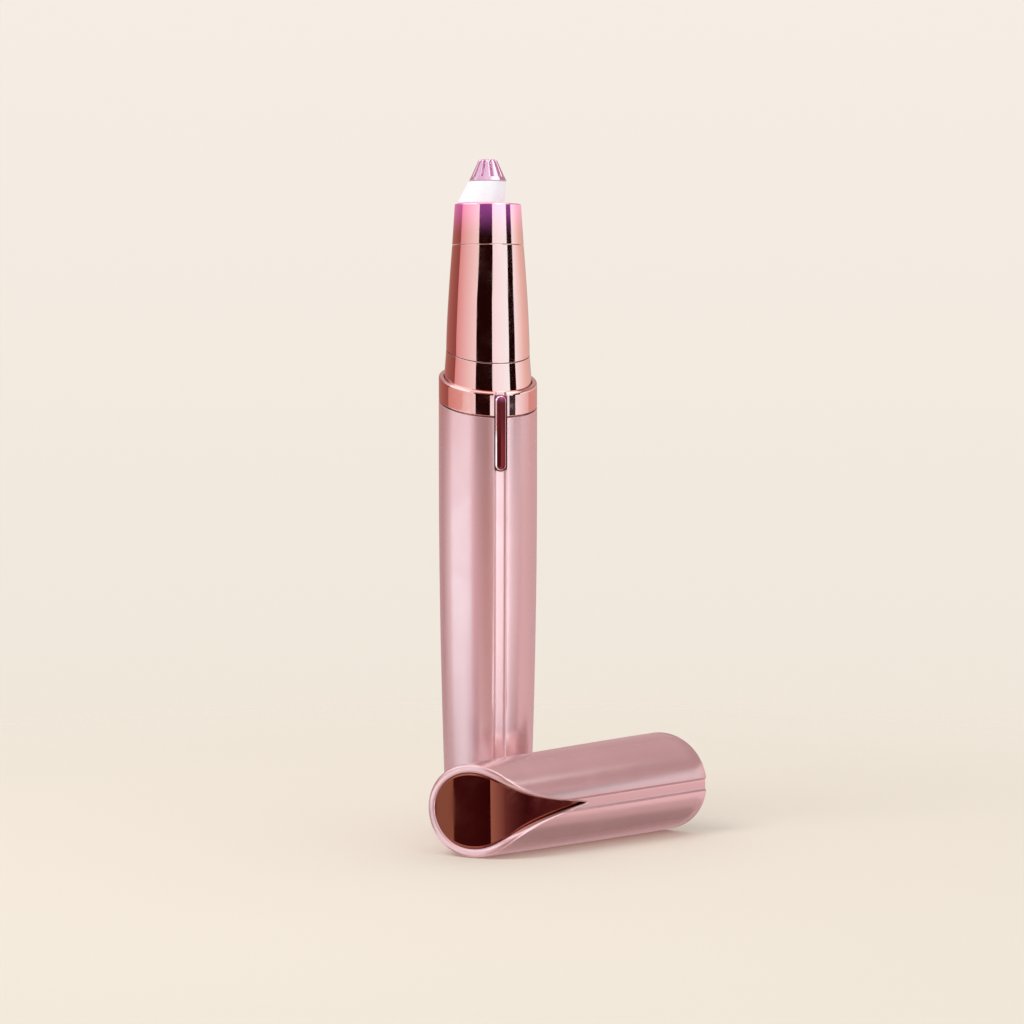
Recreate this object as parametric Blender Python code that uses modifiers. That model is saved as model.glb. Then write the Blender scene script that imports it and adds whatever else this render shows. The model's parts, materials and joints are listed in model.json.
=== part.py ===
"""An electric eyebrow trimmer standing open on its foot, with its cap lying in front of it.

The trimmer's axis is Z and its foot is at the origin. Its switch faces local -Y, and its stand turns that
a little towards -X. The cap is built upright as it sits on the trimmer, mouth down and V notch to -Y, and
its own stand lays it on the floor with its mouth towards +X.
"""
import math

import bmesh
import bpy
import numpy as np
from mathutils import Matrix, Vector

# Fits and tools
GAP = 0.0003                   # between pieces that touch on the real trimmer
SLIDE_GAP = 0.0002             # between the slider and its flute
OVERRUN = 0.0010               # how far a cutter runs past what it cuts
MERGE = 0.00001

# Motor and the holder round it, from which the handle's radii follow
MOTOR_RADIUS = 0.0050
MOTOR_FLAT = 0.0040            # from the axis to each flat side
MOTOR_LENGTH = 0.0139
MOTOR_BOSS_RADIUS = 0.0015
MOTOR_BOSS_HEIGHT = 0.0009
MOTOR_BEARING_DEPTH = 0.0025
END_CAP_HEIGHT = 0.0017
HOLDER_WALL = 0.0006
HOLDER_WEB = 0.0012
WEB_RISE = 0.0108              # of the web's top above the cone's base
BOSS_WALL = 0.0008

# Handle sleeve
NECK_SPIGOT_WALL = 0.0012
FOOT_TAPER = 0.00133           # how much narrower the foot is than the collar
FOOT_ROUND = 0.0004
SLEEVE_HEIGHT = 0.0792         # at the axis, up to the slanted joint
TAPER_HEIGHT = 0.0650          # where the taper from the foot ends
SLEEVE_WALL = 0.0013
SLANT_FALL = 0.0025            # fall of the slanted joint from the axis to the switch side
FLUTE_WIDTH = 0.0024
FLUTE_DEPTH = 0.0004

# Collar, neck and cone
COLLAR_HEIGHT = 0.0043
COLLAR_WALL = 0.0007
COLLAR_ROUND = 0.0003
NECK_TAPER = 0.00037
NECK_HEIGHT = 0.0048           # above the collar
NECK_SPIGOT_LENGTH = 0.0045    # inside the sleeve
SEAM_FALL = 0.0025             # fall of the seam between neck and cone
CONE_TAPER = 0.0011
CONE_HEIGHT = 0.0191
CONE_WALL = 0.0009
SPIGOT_HEIGHT = 0.0028         # of the cone's spigot inside the head ring
SPIGOT_WALL = 0.0008
EDGE_ROUND = 0.0002

# Head: ring, lens and guard
RING_HEIGHT = 0.0072
RING_TAPER = 0.00049
RING_WALL = 0.0008
RING_PLATE = 0.0009
LENS_HEIGHT = 0.0038
LENS_BASE_RADIUS = 0.00433
LENS_BASE_SHIFT = 0.00137      # towards -X, the side that the lamp lights
LENS_TOP_RADIUS = 0.00345
LENS_TOP_SHIFT = 0.00015
LENS_SPIGOT_RADIUS = 0.0033
LENS_SPIGOT_SHIFT = 0.0009
LENS_SPIGOT_LENGTH = 0.0011
GUARD_HEIGHT = 0.0037
GUARD_BASE_RADIUS = 0.0034
GUARD_TIP_RADIUS = 0.00165
GUARD_WALL = 0.0005
GUARD_SLOTS = 10
GUARD_SLOT_WIDTH = 0.0004
GUARD_BASE_BAND = 0.0005       # solid band under the slots
GUARD_TURN_SHARE = 0.5         # of the step from slot to slot, so that one faces the switch side
GUARD_HUB_RADIUS = 0.0007      # solid middle of the tip

# Rotor and its drive
BLADES = 6
CUTTER_HEIGHT = 0.0026
CUTTER_HUB_RADIUS = 0.0014
BLADE_WIDTH_SHARE = 0.32       # of the step from blade to blade
BLADE_ROOT_SHARE = 0.48        # of the blade's radius
SPINDLE_RADIUS = 0.0016
POST_RADIUS = 0.0009           # hexagonal post that turns the cutter
POST_SIDES = 6
SHAFT_RADIUS = 0.0005
SHAFT_GRIP = 0.0035            # length of shaft inside the spindle
CUTTER_SPRING_RADIUS = 0.00135
CUTTER_SPRING_WIRE = 0.00015
CUTTER_SPRING_TURNS = 4
CUTTER_SPRING_HEIGHT = 0.0040

# Lamp
LAMP_LENGTH = 0.0024
LAMP_WIDTH = 0.0015
LAMP_HEIGHT = 0.0009
LAMP_SHIFT = 0.0032
LAMP_HEADROOM = 0.0006
BOARD_THICKNESS = 0.0008
WIRE_RADIUS = 0.00025

# Switch
SLIDER_LENGTH = 0.0136
SLIDER_WIDTH = 0.0021
SLIDER_PROUD = 0.00035         # above the sleeve's surface
SLIDER_DROP = 0.0005           # of its upper end below the collar's lowest edge
SLIDER_BEVEL = 0.00018
SLIDER_TRAVEL = 0.0020
STEM_SETBACK = 0.0043          # from the slider's lower end to the stem's middle
STEM_WIDTH = 0.0012
STEM_HEIGHT = 0.0030
STEM_LENGTH = 0.0036           # inwards from the sleeve's surface
LEVER_SIZE = 0.0012
FORK_DEPTH = 0.0015
SWITCH_WIDTH = 0.0034
SWITCH_LENGTH = 0.0070
SWITCH_DEPTH = 0.0030
SWITCH_RECESS = 0.0010

# Battery, chassis and boards
CELL_RADIUS = 0.00525
CELL_LENGTH = 0.0445
CELL_NUB_RADIUS = 0.0019
CELL_NUB_HEIGHT = 0.0010
CELL_ROUND = 0.0004
CHASSIS_WALL = 0.0006
PARTITION = 0.0012
PARTITION_HOLE = 0.0010
FLANGE_HEIGHT = 0.0020
CRADLE_FLANGE_WALL = 0.0015
PLATE_THICKNESS = 0.0003
CONTACT_RADIUS = 0.0035
BOARD_BACK = 0.0008            # from the axis to the board's rear face, towards the switch
BOARD_LIFT = 0.0016            # of the board above the partition
SCREW_RADIUS = 0.0005
SCREW_HEAD_RADIUS = 0.0010
SCREW_HEAD_HEIGHT = 0.0006
SCREW_LENGTH = 0.0030
SCREW_INSET = 0.00195          # of each screw from the tube's bore
PILLAR_WALL = 0.0005
STRIP_WIDTH = 0.0016
STRIP_THICKNESS = 0.0003

# Tail
PLUG_HEIGHT = 0.0034
LIP_HEIGHT = 0.0014
LIP_DEPTH = 0.0006             # of the bayonet lip inside the sleeve's bore
LUG_HEIGHT = 0.0012
LUG_WIDTH = 0.0034
LUG_REACH = 0.0003             # of the lugs past the lip's edge
LUG_TURN = math.radians(60)    # from locked to free
COIN_WIDTH = 0.0012
COIN_DEPTH = 0.0010
COIN_INNER = 0.0014
COIN_RIM = 0.0013              # left outside the slots
TAIL_SPRING_RADIUS = 0.0034
TAIL_SPRING_TIP_RADIUS = 0.0018
TAIL_SPRING_WIRE = 0.0002
TAIL_SPRING_TURNS = 3
TAIL_SPRING_HEIGHT = 0.0020

# Cap
CAP_LENGTH = 0.0508            # from the middle of the mouth to the top of the swirl
CAP_TAPER = 0.00085
CAP_MOUTH_WALL = 0.00085
CAP_TOP_WALL = 0.00145
SWIRL_DEPTH = 0.0233           # from the top of the swirl down to the tip of the V
RIM_ROUND = 0.0004
MOUTH_ROUND = 0.0002
INSERT_RECESS = 0.0004
INSERT_THICKNESS = 0.0006
INSERT_TAIL = 0.0012           # of the insert below the tip of the V
INSERT_END_WIDTH = 0.0020
CAP_SPACING = 0.0003           # between the lying cap's and the trimmer's widest circles
CAP_MOUTH_X = 0.0272

# Shares and powers that set the curves
TAPER_POWER = 1.9
CONE_POWER = 1.45
CAP_POWER = 1.5
SWIRL_NOTCH_SHARE = 0.68       # of the swirl's depth, taken by the V
SWIRL_NOTCH_ANGLE = math.radians(14.5)
SWIRL_SWEEP_POWER = 1.2
CAP_COLUMN_POWER = 1.35
CONE_SHARES = (0.75, 0.45, 0.2)
WIRE_BEND_SHARE = 0.45         # of the way from the board to the motor
WIRE_SLACK_SHARE = 0.7
LEAD_BEND_SHARES = (0.35, 0.7)
LEAD_SPREAD_SHARE = 0.6
CAP_BALANCE_SHARE = 0.44       # where along its length the lying cap touches the floor
TRIMMER_TURN = math.radians(-27)

# How finely round things are drawn
ROUND_STEPS = 40
INNER_STEPS = 28
SMALL_STEPS = 16
ARC_STEPS = 2
SLEEVE_SHARES = (0, 0.1, 0.22, 0.4, 0.65, 0.85, 1)
FLUTE_RESOLUTION = 7
SPRING_STEPS = 8
WIRE_STEPS = 3
CAP_COLUMNS = 17               # on each side, beyond the flute
CAP_FLUTE_COLUMNS = 4
CAP_OUTER_ROWS = 7
CAP_RIM_ROWS = 6
CAP_BORE_ROWS = 5
CAP_MOUTH_SHARES = (0.7, 0.3)  # through the wall, from the outside
INSERT_ROWS = 26
INSERT_COLUMNS = 7
PROFILE_POINTS = 400
SLOPE_STEP = 0.001             # in radians
SHARP_ANGLE = math.radians(32)
BEVEL_ANGLE = math.radians(60)

# Radii that follow from the sizes above, from the motor outwards
HOLDER_BORE = MOTOR_RADIUS + GAP
HOLDER_RADIUS = HOLDER_BORE + HOLDER_WALL
NECK_BORE = HOLDER_RADIUS + GAP
NECK_SPIGOT_RADIUS = NECK_BORE + NECK_SPIGOT_WALL
BODY_RADIUS = NECK_SPIGOT_RADIUS + GAP + SLEEVE_WALL
FOOT_RADIUS = BODY_RADIUS - FOOT_TAPER
LIP_RADIUS = FOOT_RADIUS - SLEEVE_WALL - LIP_DEPTH
NECK_RADIUS = BODY_RADIUS - COLLAR_WALL - GAP
NECK_TOP_RADIUS = NECK_RADIUS - NECK_TAPER
CONE_TOP_RADIUS = NECK_TOP_RADIUS - CONE_TAPER
RING_TOP_RADIUS = CONE_TOP_RADIUS - RING_TAPER
CAP_TOP_RADIUS = BODY_RADIUS - CAP_TAPER
CHASSIS_BORE = CELL_RADIUS + GAP
CHASSIS_RADIUS = CHASSIS_BORE + CHASSIS_WALL
BOSS_BORE = SPINDLE_RADIUS + GAP
BOSS_RADIUS = BOSS_BORE + BOSS_WALL
RING_BORE = CONE_TOP_RADIUS - RING_WALL
RING_TOP_BORE = RING_TOP_RADIUS - RING_WALL
SPIGOT_RADIUS = RING_BORE - GAP
SPIGOT_BORE = SPIGOT_RADIUS - SPIGOT_WALL
LENS_HOLE_RADIUS = LENS_SPIGOT_RADIUS + GAP
LENS_BORE = CUTTER_HUB_RADIUS + GAP
LAMP_BOARD_RADIUS = RING_TOP_BORE - GAP
SCREW_SPREAD = CHASSIS_BORE - SCREW_INSET

# Heights that follow from the sizes above
COLLAR_BASE = SLEEVE_HEIGHT + GAP
COLLAR_TOP = COLLAR_BASE + COLLAR_HEIGHT
NECK_TOP = COLLAR_TOP + NECK_HEIGHT
CONE_BASE = NECK_TOP + GAP
CONE_TOP = CONE_BASE + CONE_HEIGHT
RING_BASE = CONE_TOP + GAP
RING_TOP = RING_BASE + RING_HEIGHT
LENS_BASE = RING_TOP + GAP
LENS_TOP = LENS_BASE + LENS_HEIGHT
GUARD_BASE = LENS_TOP + GAP
GUARD_TOP = GUARD_BASE + GUARD_HEIGHT

NECK_FOOT = SLEEVE_HEIGHT - NECK_SPIGOT_LENGTH + GAP
WEB_TOP = CONE_BASE + WEB_RISE
MOTOR_TOP = WEB_TOP - HOLDER_WEB - GAP
MOTOR_BASE = MOTOR_TOP - MOTOR_LENGTH
END_CAP_TOP = MOTOR_BASE - GAP
END_CAP_BASE = END_CAP_TOP - END_CAP_HEIGHT
LENS_FOOT = LENS_BASE - LENS_SPIGOT_LENGTH
LAMP_TOP = LENS_FOOT - LAMP_HEADROOM
LAMP_BASE = LAMP_TOP - LAMP_HEIGHT
LAMP_BOARD_TOP = LAMP_BASE - GAP
LAMP_BOARD_BASE = LAMP_BOARD_TOP - BOARD_THICKNESS

CUTTER_BASE = GUARD_BASE + GAP
CUTTER_FOOT = LENS_TOP - SPINDLE_RADIUS
CUTTER_TOP = CUTTER_BASE + CUTTER_HEIGHT
SPINDLE_TOP = CUTTER_FOOT - GAP - CUTTER_SPRING_HEIGHT - GAP
SHAFT_BASE = MOTOR_TOP - MOTOR_BEARING_DEPTH + GAP + MOTOR_BOSS_HEIGHT
SPINDLE_BASE = WEB_TOP + GAP
SHAFT_TOP = SPINDLE_BASE + SHAFT_GRIP

SLIDER_TOP = COLLAR_TOP - SLANT_FALL - SLIDER_DROP
SLIDER_BASE = SLIDER_TOP - SLIDER_LENGTH
STEM_HEIGHT_MID = SLIDER_BASE + STEM_SETBACK
SWITCH_MID = STEM_HEIGHT_MID - SLIDER_TRAVEL / 2

NEGATIVE_BASE = PLUG_HEIGHT + GAP
TAIL_SPRING_BASE = NEGATIVE_BASE + PLATE_THICKNESS + GAP
CELL_BASE = TAIL_SPRING_BASE + TAIL_SPRING_HEIGHT + GAP
CELL_TOP = CELL_BASE + CELL_LENGTH
POSITIVE_BASE = CELL_TOP + GAP
PARTITION_BASE = POSITIVE_BASE + PLATE_THICKNESS + GAP
PARTITION_TOP = PARTITION_BASE + PARTITION
CHASSIS_BASE = PLUG_HEIGHT + GAP
CHASSIS_TOP = NECK_FOOT - GAP
BOARD_BASE = PARTITION_TOP + BOARD_LIFT
BOARD_TOP = CHASSIS_TOP - GAP
SCREW_HEIGHT = BOARD_BASE + SCREW_HEAD_RADIUS + GAP

# Places along Y of the board, the switch and the slider's stem, from the axis towards the switch side
BOARD_FRONT = BOARD_BACK + BOARD_THICKNESS
CRADLE_CUT = BOARD_BACK - GAP
SWITCH_BACK = BOARD_FRONT + GAP
SWITCH_FRONT = SWITCH_BACK + SWITCH_DEPTH
LEVER_ROOT = SWITCH_FRONT - SWITCH_RECESS + GAP
STEM_REACH = BODY_RADIUS - STEM_LENGTH
LEVER_REACH = STEM_REACH + FORK_DEPTH - GAP

# The flute's cutter is a round bar this thick, whose middle runs this far outside the surface
FLUTE_HALF = FLUTE_WIDTH / 2
FLUTE_CHORD_DEPTH = FLUTE_DEPTH - (BODY_RADIUS - math.sqrt(BODY_RADIUS ** 2 - FLUTE_HALF ** 2))
FLUTE_BAR = (FLUTE_HALF ** 2 + FLUTE_CHORD_DEPTH ** 2) / (2 * FLUTE_CHORD_DEPTH)
FLUTE_OFFSET = FLUTE_BAR - FLUTE_DEPTH

FINISHES = {
    # name: (base colour, metallic, roughness)
    "pink": ((0.62, 0.36, 0.36), 0.55, 0.32),
    "rose_gold": ((0.85, 0.42, 0.34), 1.0, 0.08),
    "copper_mirror": ((0.32, 0.10, 0.07), 1.0, 0.05),
    "maroon_mirror": ((0.14, 0.015, 0.02), 1.0, 0.08),
    "white_lens": ((0.95, 0.94, 0.96), 0.0, 0.25),
    "pink_lens": ((0.85, 0.62, 0.75), 0.0, 0.3),
    "steel": ((0.62, 0.62, 0.64), 1.0, 0.28),
    "white_plastic": ((0.8, 0.79, 0.76), 0.0, 0.45),
    "black_plastic": ((0.03, 0.03, 0.035), 0.0, 0.4),
    "board_green": ((0.03, 0.18, 0.08), 0.0, 0.35),
    "cell_wrap": ((0.12, 0.12, 0.14), 0.2, 0.3),
    "nickel": ((0.7, 0.66, 0.58), 1.0, 0.22),
    "red_wire": ((0.55, 0.02, 0.02), 0.0, 0.45),
    "black_wire": ((0.02, 0.02, 0.02), 0.0, 0.45),
    "lamp": ((0.95, 0.9, 0.6), 0.0, 0.2),
}


def sleeve_radius(height):
    """Outer radius of the sleeve: narrow at the foot, full above the taper."""
    share = max(0.0, 1 - height / TAPER_HEIGHT)
    return BODY_RADIUS - (BODY_RADIUS - FOOT_RADIUS) * share ** TAPER_POWER


def cone_radius(height):
    share = (height - CONE_BASE) / CONE_HEIGHT
    return NECK_TOP_RADIUS - (NECK_TOP_RADIUS - CONE_TOP_RADIUS) * max(0.0, share) ** CONE_POWER


def cap_radius(height):
    """Outer radius of the cap at heights above the middle of its mouth (a number or an array)."""
    share = np.maximum(height, 0) / CAP_LENGTH
    return BODY_RADIUS - (BODY_RADIUS - CAP_TOP_RADIUS) * share ** CAP_POWER


def cap_bore(height):
    share = np.maximum(height, 0) / CAP_LENGTH
    return cap_radius(height) - CAP_MOUTH_WALL - (CAP_TOP_WALL - CAP_MOUTH_WALL) * share


def swirl_height(angle):
    """Height of the cap's swirl edge at an angle from the V notch."""
    notch = 1 - np.exp(-np.abs(angle) / SWIRL_NOTCH_ANGLE)
    sweep = np.sin(np.abs(angle) / 2) ** SWIRL_SWEEP_POWER
    rise = SWIRL_NOTCH_SHARE * notch + (1 - SWIRL_NOTCH_SHARE) * sweep
    return CAP_LENGTH - SWIRL_DEPTH * (1 - rise)


def fluted(radius, angle):
    """A round section's radius with the flute's round scoop taken out at angle zero."""
    aside = radius * np.sin(angle)
    inside = np.maximum(FLUTE_BAR ** 2 - aside ** 2, 0)
    scoop = radius + FLUTE_OFFSET - np.sqrt(inside)
    ahead = radius * np.cos(angle)
    in_front = (np.cos(angle) > 0) & (np.abs(aside) < FLUTE_BAR)
    return np.where(in_front, np.hypot(aside, np.minimum(ahead, scoop)), radius)


def clear_scene():
    for old in list(bpy.data.objects):
        bpy.data.objects.remove(old, do_unlink=True)


def new_collection(name):
    collection = bpy.data.collections.new(name)
    bpy.context.scene.collection.children.link(collection)
    return collection


clear_scene()
PARTS = new_collection("electric_eyebrow_trimmer")
CUTTERS = new_collection("cutters")


def new_stand(name, location=(0, 0, 0), rotation=(0, 0, 0)):
    """An empty that places the pieces hung on it."""
    stand = bpy.data.objects.new(name, None)
    stand.location = location
    stand.rotation_euler = rotation
    PARTS.objects.link(stand)
    return stand


TRIMMER = new_stand("trimmer_stand", rotation=(0, 0, TRIMMER_TURN))


def new_object(name, data):
    thing = bpy.data.objects.new(name, data)
    PARTS.objects.link(thing)
    return thing


def shade(mesh):
    mesh.shade_smooth()
    mesh.set_sharp_from_angle(angle=SHARP_ANGLE)


def baked(thing):
    """Replace an object by a plain mesh of what it looks like now, with welded caps."""
    depsgraph = bpy.context.evaluated_depsgraph_get()
    mesh = bpy.data.meshes.new_from_object(thing.evaluated_get(depsgraph))
    model = bmesh.new()
    model.from_mesh(mesh)
    bmesh.ops.remove_doubles(model, verts=model.verts, dist=MERGE)
    bmesh.ops.recalc_face_normals(model, faces=model.faces)
    model.to_mesh(mesh)
    model.free()
    shade(mesh)
    name = thing.name
    place = thing.matrix_world.copy()
    bpy.data.objects.remove(thing, do_unlink=True)
    solid = new_object(name, mesh)
    solid.matrix_world = place
    return solid


def as_cutter(thing):
    PARTS.objects.unlink(thing)
    CUTTERS.objects.link(thing)
    thing.parent = TRIMMER
    thing.hide_render = True
    thing.display_type = "WIRE"
    return thing


def boolean(target, tool, operation="DIFFERENCE"):
    step = target.modifiers.new(operation.lower(), "BOOLEAN")
    step.operation = operation
    step.solver = "EXACT"
    step.object = tool
    return target


def finish(piece, finish_name, stand=None):
    """Give a piece its material and hang it on its stand, the trimmer's if none is named."""
    colour, metallic, roughness = FINISHES[finish_name]
    material = bpy.data.materials.new(piece.name)
    material.use_nodes = True
    shader = material.node_tree.nodes["Principled BSDF"]
    shader.inputs["Base Color"].default_value = (*colour, 1)
    shader.inputs["Metallic"].default_value = metallic
    shader.inputs["Roughness"].default_value = roughness
    piece.data.materials.clear()
    piece.data.materials.append(material)
    piece.parent = stand or TRIMMER
    return piece


def rounded(corners):
    """A profile from (radius, height) corners; a third number rounds that corner off."""
    points = []
    count = len(corners)
    for index, corner in enumerate(corners):
        here = Vector(corner[:2])
        if len(corner) < 3:
            points.append(here)
            continue
        before = Vector(corners[index - 1][:2]) - here
        after = Vector(corners[(index + 1) % count][:2]) - here
        start = here + before.normalized() * corner[2]
        end = here + after.normalized() * corner[2]
        for step in range(ARC_STEPS + 1):
            share = step / ARC_STEPS
            points.append(start * (1 - share) ** 2 + here * 2 * share * (1 - share) + end * share ** 2)
    return points


def turned(name, corners, steps=ROUND_STEPS, ring=True):
    """Turn a profile about Z. It runs down the outer side; a ring closes back up its bore."""
    profile = rounded(corners)
    mesh = bpy.data.meshes.new(name)
    edges = [(index, index + 1) for index in range(len(profile) - 1)]
    if ring:
        edges.append((len(profile) - 1, 0))
    mesh.from_pydata([(point.x, 0, point.y) for point in profile], edges, [])
    piece = new_object(name, mesh)
    screw = piece.modifiers.new("turn", "SCREW")
    screw.steps = steps
    screw.render_steps = steps
    screw.use_merge_vertices = True
    screw.merge_threshold = MERGE
    return baked(piece)


def lean(piece, stations):
    """Shear a turned piece so that its rings fall towards -Y, by falls given at heights."""
    heights = [height for height, fall in stations]
    slopes = [fall / BODY_RADIUS for height, fall in stations]
    for vertex in piece.data.vertices:
        vertex.co.z += vertex.co.y * np.interp(vertex.co.z, heights, slopes)
    return piece


def box(name, low, high):
    low, high = Vector(low), Vector(high)
    mesh = bpy.data.meshes.new(name)
    model = bmesh.new()
    size = Matrix.Diagonal((*(high - low), 1))
    bmesh.ops.create_cube(model, size=1, matrix=Matrix.Translation((low + high) / 2) @ size)
    model.to_mesh(mesh)
    model.free()
    return new_object(name, mesh)


def boxes(name, bounds, turns=(0,)):
    """Separate boxes in one mesh, each repeated at angles about Z."""
    mesh = bpy.data.meshes.new(name)
    model = bmesh.new()
    for low, high in bounds:
        low, high = Vector(low), Vector(high)
        size = Matrix.Diagonal((*(high - low), 1))
        for turn in turns:
            place = Matrix.Rotation(turn, 4, "Z") @ Matrix.Translation((low + high) / 2) @ size
            bmesh.ops.create_cube(model, size=1, matrix=place)
    model.to_mesh(mesh)
    model.free()
    return new_object(name, mesh)


def rod(name, radius, low, high, centre=(0, 0), sides=SMALL_STEPS):
    """An upright cylinder between two heights."""
    mesh = bpy.data.meshes.new(name)
    model = bmesh.new()
    middle = Matrix.Translation((centre[0], centre[1], (low + high) / 2))
    bmesh.ops.create_cone(model, cap_ends=True, segments=sides, radius1=radius, radius2=radius,
                          depth=high - low, matrix=middle)
    model.to_mesh(mesh)
    model.free()
    shade(mesh)
    return new_object(name, mesh)


def tube(name, points, radius, resolution=2):
    """A round bar along a line of points."""
    curve = bpy.data.curves.new(name, "CURVE")
    curve.dimensions = "3D"
    curve.bevel_depth = radius
    curve.bevel_resolution = resolution
    curve.use_fill_caps = True
    line = curve.splines.new("POLY")
    line.points.add(len(points) - 1)
    for point, place in zip(line.points, points):
        point.co = (*place, 1)
    return new_object(name, curve)


def coil(name, base, height, radius, tip_radius, wire, turns):
    """A compression spring that stands on a height, straight or conical."""
    count = turns * SPRING_STEPS
    points = []
    for step in range(count + 1):
        share = step / count
        angle = 2 * math.pi * turns * share
        reach = radius + (tip_radius - radius) * share
        rise = base + wire + (height - 2 * wire) * share
        points.append((reach * math.cos(angle), reach * math.sin(angle), rise))
    return baked(tube(name, points, wire, resolution=1))


def smooth_route(stops, steps=WIRE_STEPS):
    """A soft curve through hand-placed stops, for a wire."""
    stops = [Vector(stop) for stop in stops]
    ends = [stops[0] * 2 - stops[1]] + stops + [stops[-1] * 2 - stops[-2]]
    route = []
    for index in range(1, len(ends) - 2):
        before, start, end, after = ends[index - 1:index + 3]
        for step in range(steps):
            share = step / steps
            pull = (end - before) * share + (before * 2 - start * 5 + end * 4 - after) * share ** 2
            bend = (start * 3 - before - end * 3 + after) * share ** 3
            route.append(start + (pull + bend) / 2)
    route.append(stops[-1])
    return route


def looped_surface(name, rings):
    """A closed solid from rings of points that are joined in turn, the last to the first."""
    sections, around, _ = rings.shape
    section, corner = np.meshgrid(np.arange(sections), np.arange(around), indexing="ij")
    next_section = (section + 1) % sections
    next_corner = (corner + 1) % around
    faces = np.stack([section * around + corner, section * around + next_corner,
                      next_section * around + next_corner, next_section * around + corner], axis=-1)
    mesh = bpy.data.meshes.new(name)
    mesh.from_pydata(rings.reshape(-1, 3).tolist(), [], faces.reshape(-1, 4).tolist())
    shade(mesh)
    return new_object(name, mesh)


def lofted(name, circles, steps=INNER_STEPS):
    """A solid between circles given as (shift along X, radius, height), low to high."""
    angles = np.linspace(0, 2 * np.pi, steps, endpoint=False)
    corners = [(shift + radius * math.cos(angle), radius * math.sin(angle), height)
               for shift, radius, height in circles for angle in angles]
    top = (len(circles) - 1) * steps
    faces = [tuple(range(steps))[::-1], tuple(range(top, top + steps))]
    for ring in range(0, top, steps):
        for corner in range(steps):
            following = (corner + 1) % steps
            faces.append((ring + corner, ring + following, ring + steps + following, ring + steps + corner))
    mesh = bpy.data.meshes.new(name)
    mesh.from_pydata(corners, [], faces)
    shade(mesh)
    return new_object(name, mesh)


def flute_bar(name, radius, top):
    """The round bar along the outside of the sleeve that scoops the flute."""
    heights = [share * SLEEVE_HEIGHT for share in SLEEVE_SHARES]
    reaches = [sleeve_radius(height) + FLUTE_OFFSET for height in heights]
    line = [(0, -reaches[0], -OVERRUN)]
    line += [(0, -reach, height) for reach, height in zip(reaches, heights)]
    line += [(0, -reaches[-1], top)]
    return as_cutter(baked(tube(name, line, radius, resolution=FLUTE_RESOLUTION)))


def build_sleeve(flute):
    outside = [(sleeve_radius(share * SLEEVE_HEIGHT), share * SLEEVE_HEIGHT)
               for share in reversed(SLEEVE_SHARES[1:])]
    inside = [(radius - SLEEVE_WALL, height) for radius, height in reversed(outside)]
    foot = [(FOOT_RADIUS, 0, FOOT_ROUND), (LIP_RADIUS, 0), (LIP_RADIUS, LIP_HEIGHT),
            (sleeve_radius(LIP_HEIGHT) - SLEEVE_WALL, LIP_HEIGHT)]
    sleeve = turned("handle_sleeve", outside + foot + inside)
    lean(sleeve, [(SLEEVE_HEIGHT * SLEEVE_SHARES[-2], 0), (SLEEVE_HEIGHT, SLANT_FALL)])
    boolean(sleeve, flute)
    half_slot = STEM_WIDTH / 2 + GAP
    slot = box("stem_slot_cut",
               (-half_slot, -BODY_RADIUS - OVERRUN, STEM_HEIGHT_MID - STEM_HEIGHT / 2 - SLIDER_TRAVEL - GAP),
               (half_slot, -STEM_REACH, STEM_HEIGHT_MID + STEM_HEIGHT / 2 + GAP))
    boolean(sleeve, as_cutter(slot))
    notch_half = LUG_WIDTH / 2 + GAP
    notch = ((0, -notch_half, -OVERRUN), (LIP_RADIUS + LUG_REACH + GAP, notch_half, LIP_HEIGHT + GAP))
    notches = boxes("bayonet_notch_cut", [notch], (LUG_TURN, LUG_TURN + math.pi))
    boolean(sleeve, as_cutter(notches))
    return finish(sleeve, "pink")


def build_collar(flute):
    bore = BODY_RADIUS - COLLAR_WALL
    collar = turned("collar_ring", [(bore, COLLAR_TOP), (BODY_RADIUS, COLLAR_TOP, COLLAR_ROUND),
                                    (BODY_RADIUS, COLLAR_BASE), (bore, COLLAR_BASE)])
    lean(collar, [(COLLAR_BASE, SLANT_FALL), (COLLAR_TOP, SLANT_FALL)])
    boolean(collar, flute)
    return finish(collar, "rose_gold")


def build_neck():
    """The neck's spigot drops into the sleeve and its shoulder sits on the sleeve's slanted top."""
    neck = turned("neck_ring", [(NECK_BORE, NECK_TOP), (NECK_TOP_RADIUS, NECK_TOP, EDGE_ROUND),
                                (NECK_RADIUS, COLLAR_TOP), (NECK_RADIUS, COLLAR_BASE),
                                (NECK_SPIGOT_RADIUS, COLLAR_BASE), (NECK_SPIGOT_RADIUS, NECK_FOOT), (NECK_BORE, NECK_FOOT)])
    lean(neck, [(NECK_FOOT, 0), (COLLAR_BASE, SLANT_FALL), (COLLAR_TOP, SLANT_FALL), (NECK_TOP, SEAM_FALL)])
    return finish(neck, "rose_gold")


def build_cone():
    """The cone slips over the motor holder and ends in a spigot for the head ring."""
    heights = [CONE_BASE + share * CONE_HEIGHT for share in CONE_SHARES]
    flank = [(cone_radius(height), height) for height in heights]
    inner_top = CONE_TOP - CONE_WALL
    corners = [(SPIGOT_BORE, CONE_TOP + SPIGOT_HEIGHT), (SPIGOT_RADIUS, CONE_TOP + SPIGOT_HEIGHT, EDGE_ROUND),
               (SPIGOT_RADIUS, CONE_TOP), (CONE_TOP_RADIUS, CONE_TOP, EDGE_ROUND), *flank,
               (NECK_TOP_RADIUS, CONE_BASE, EDGE_ROUND), (NECK_BORE, CONE_BASE), (NECK_BORE, WEB_TOP + GAP),
               (CONE_TOP_RADIUS - CONE_WALL, inner_top), (SPIGOT_BORE, inner_top)]
    cone = turned("head_cone", corners)
    lean(cone, [(CONE_BASE, SEAM_FALL), (CONE_BASE + CONE_SHARES[-1] * CONE_HEIGHT, SEAM_FALL),
                (WEB_TOP - HOLDER_WEB, 0)])
    return finish(cone, "rose_gold")


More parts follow.
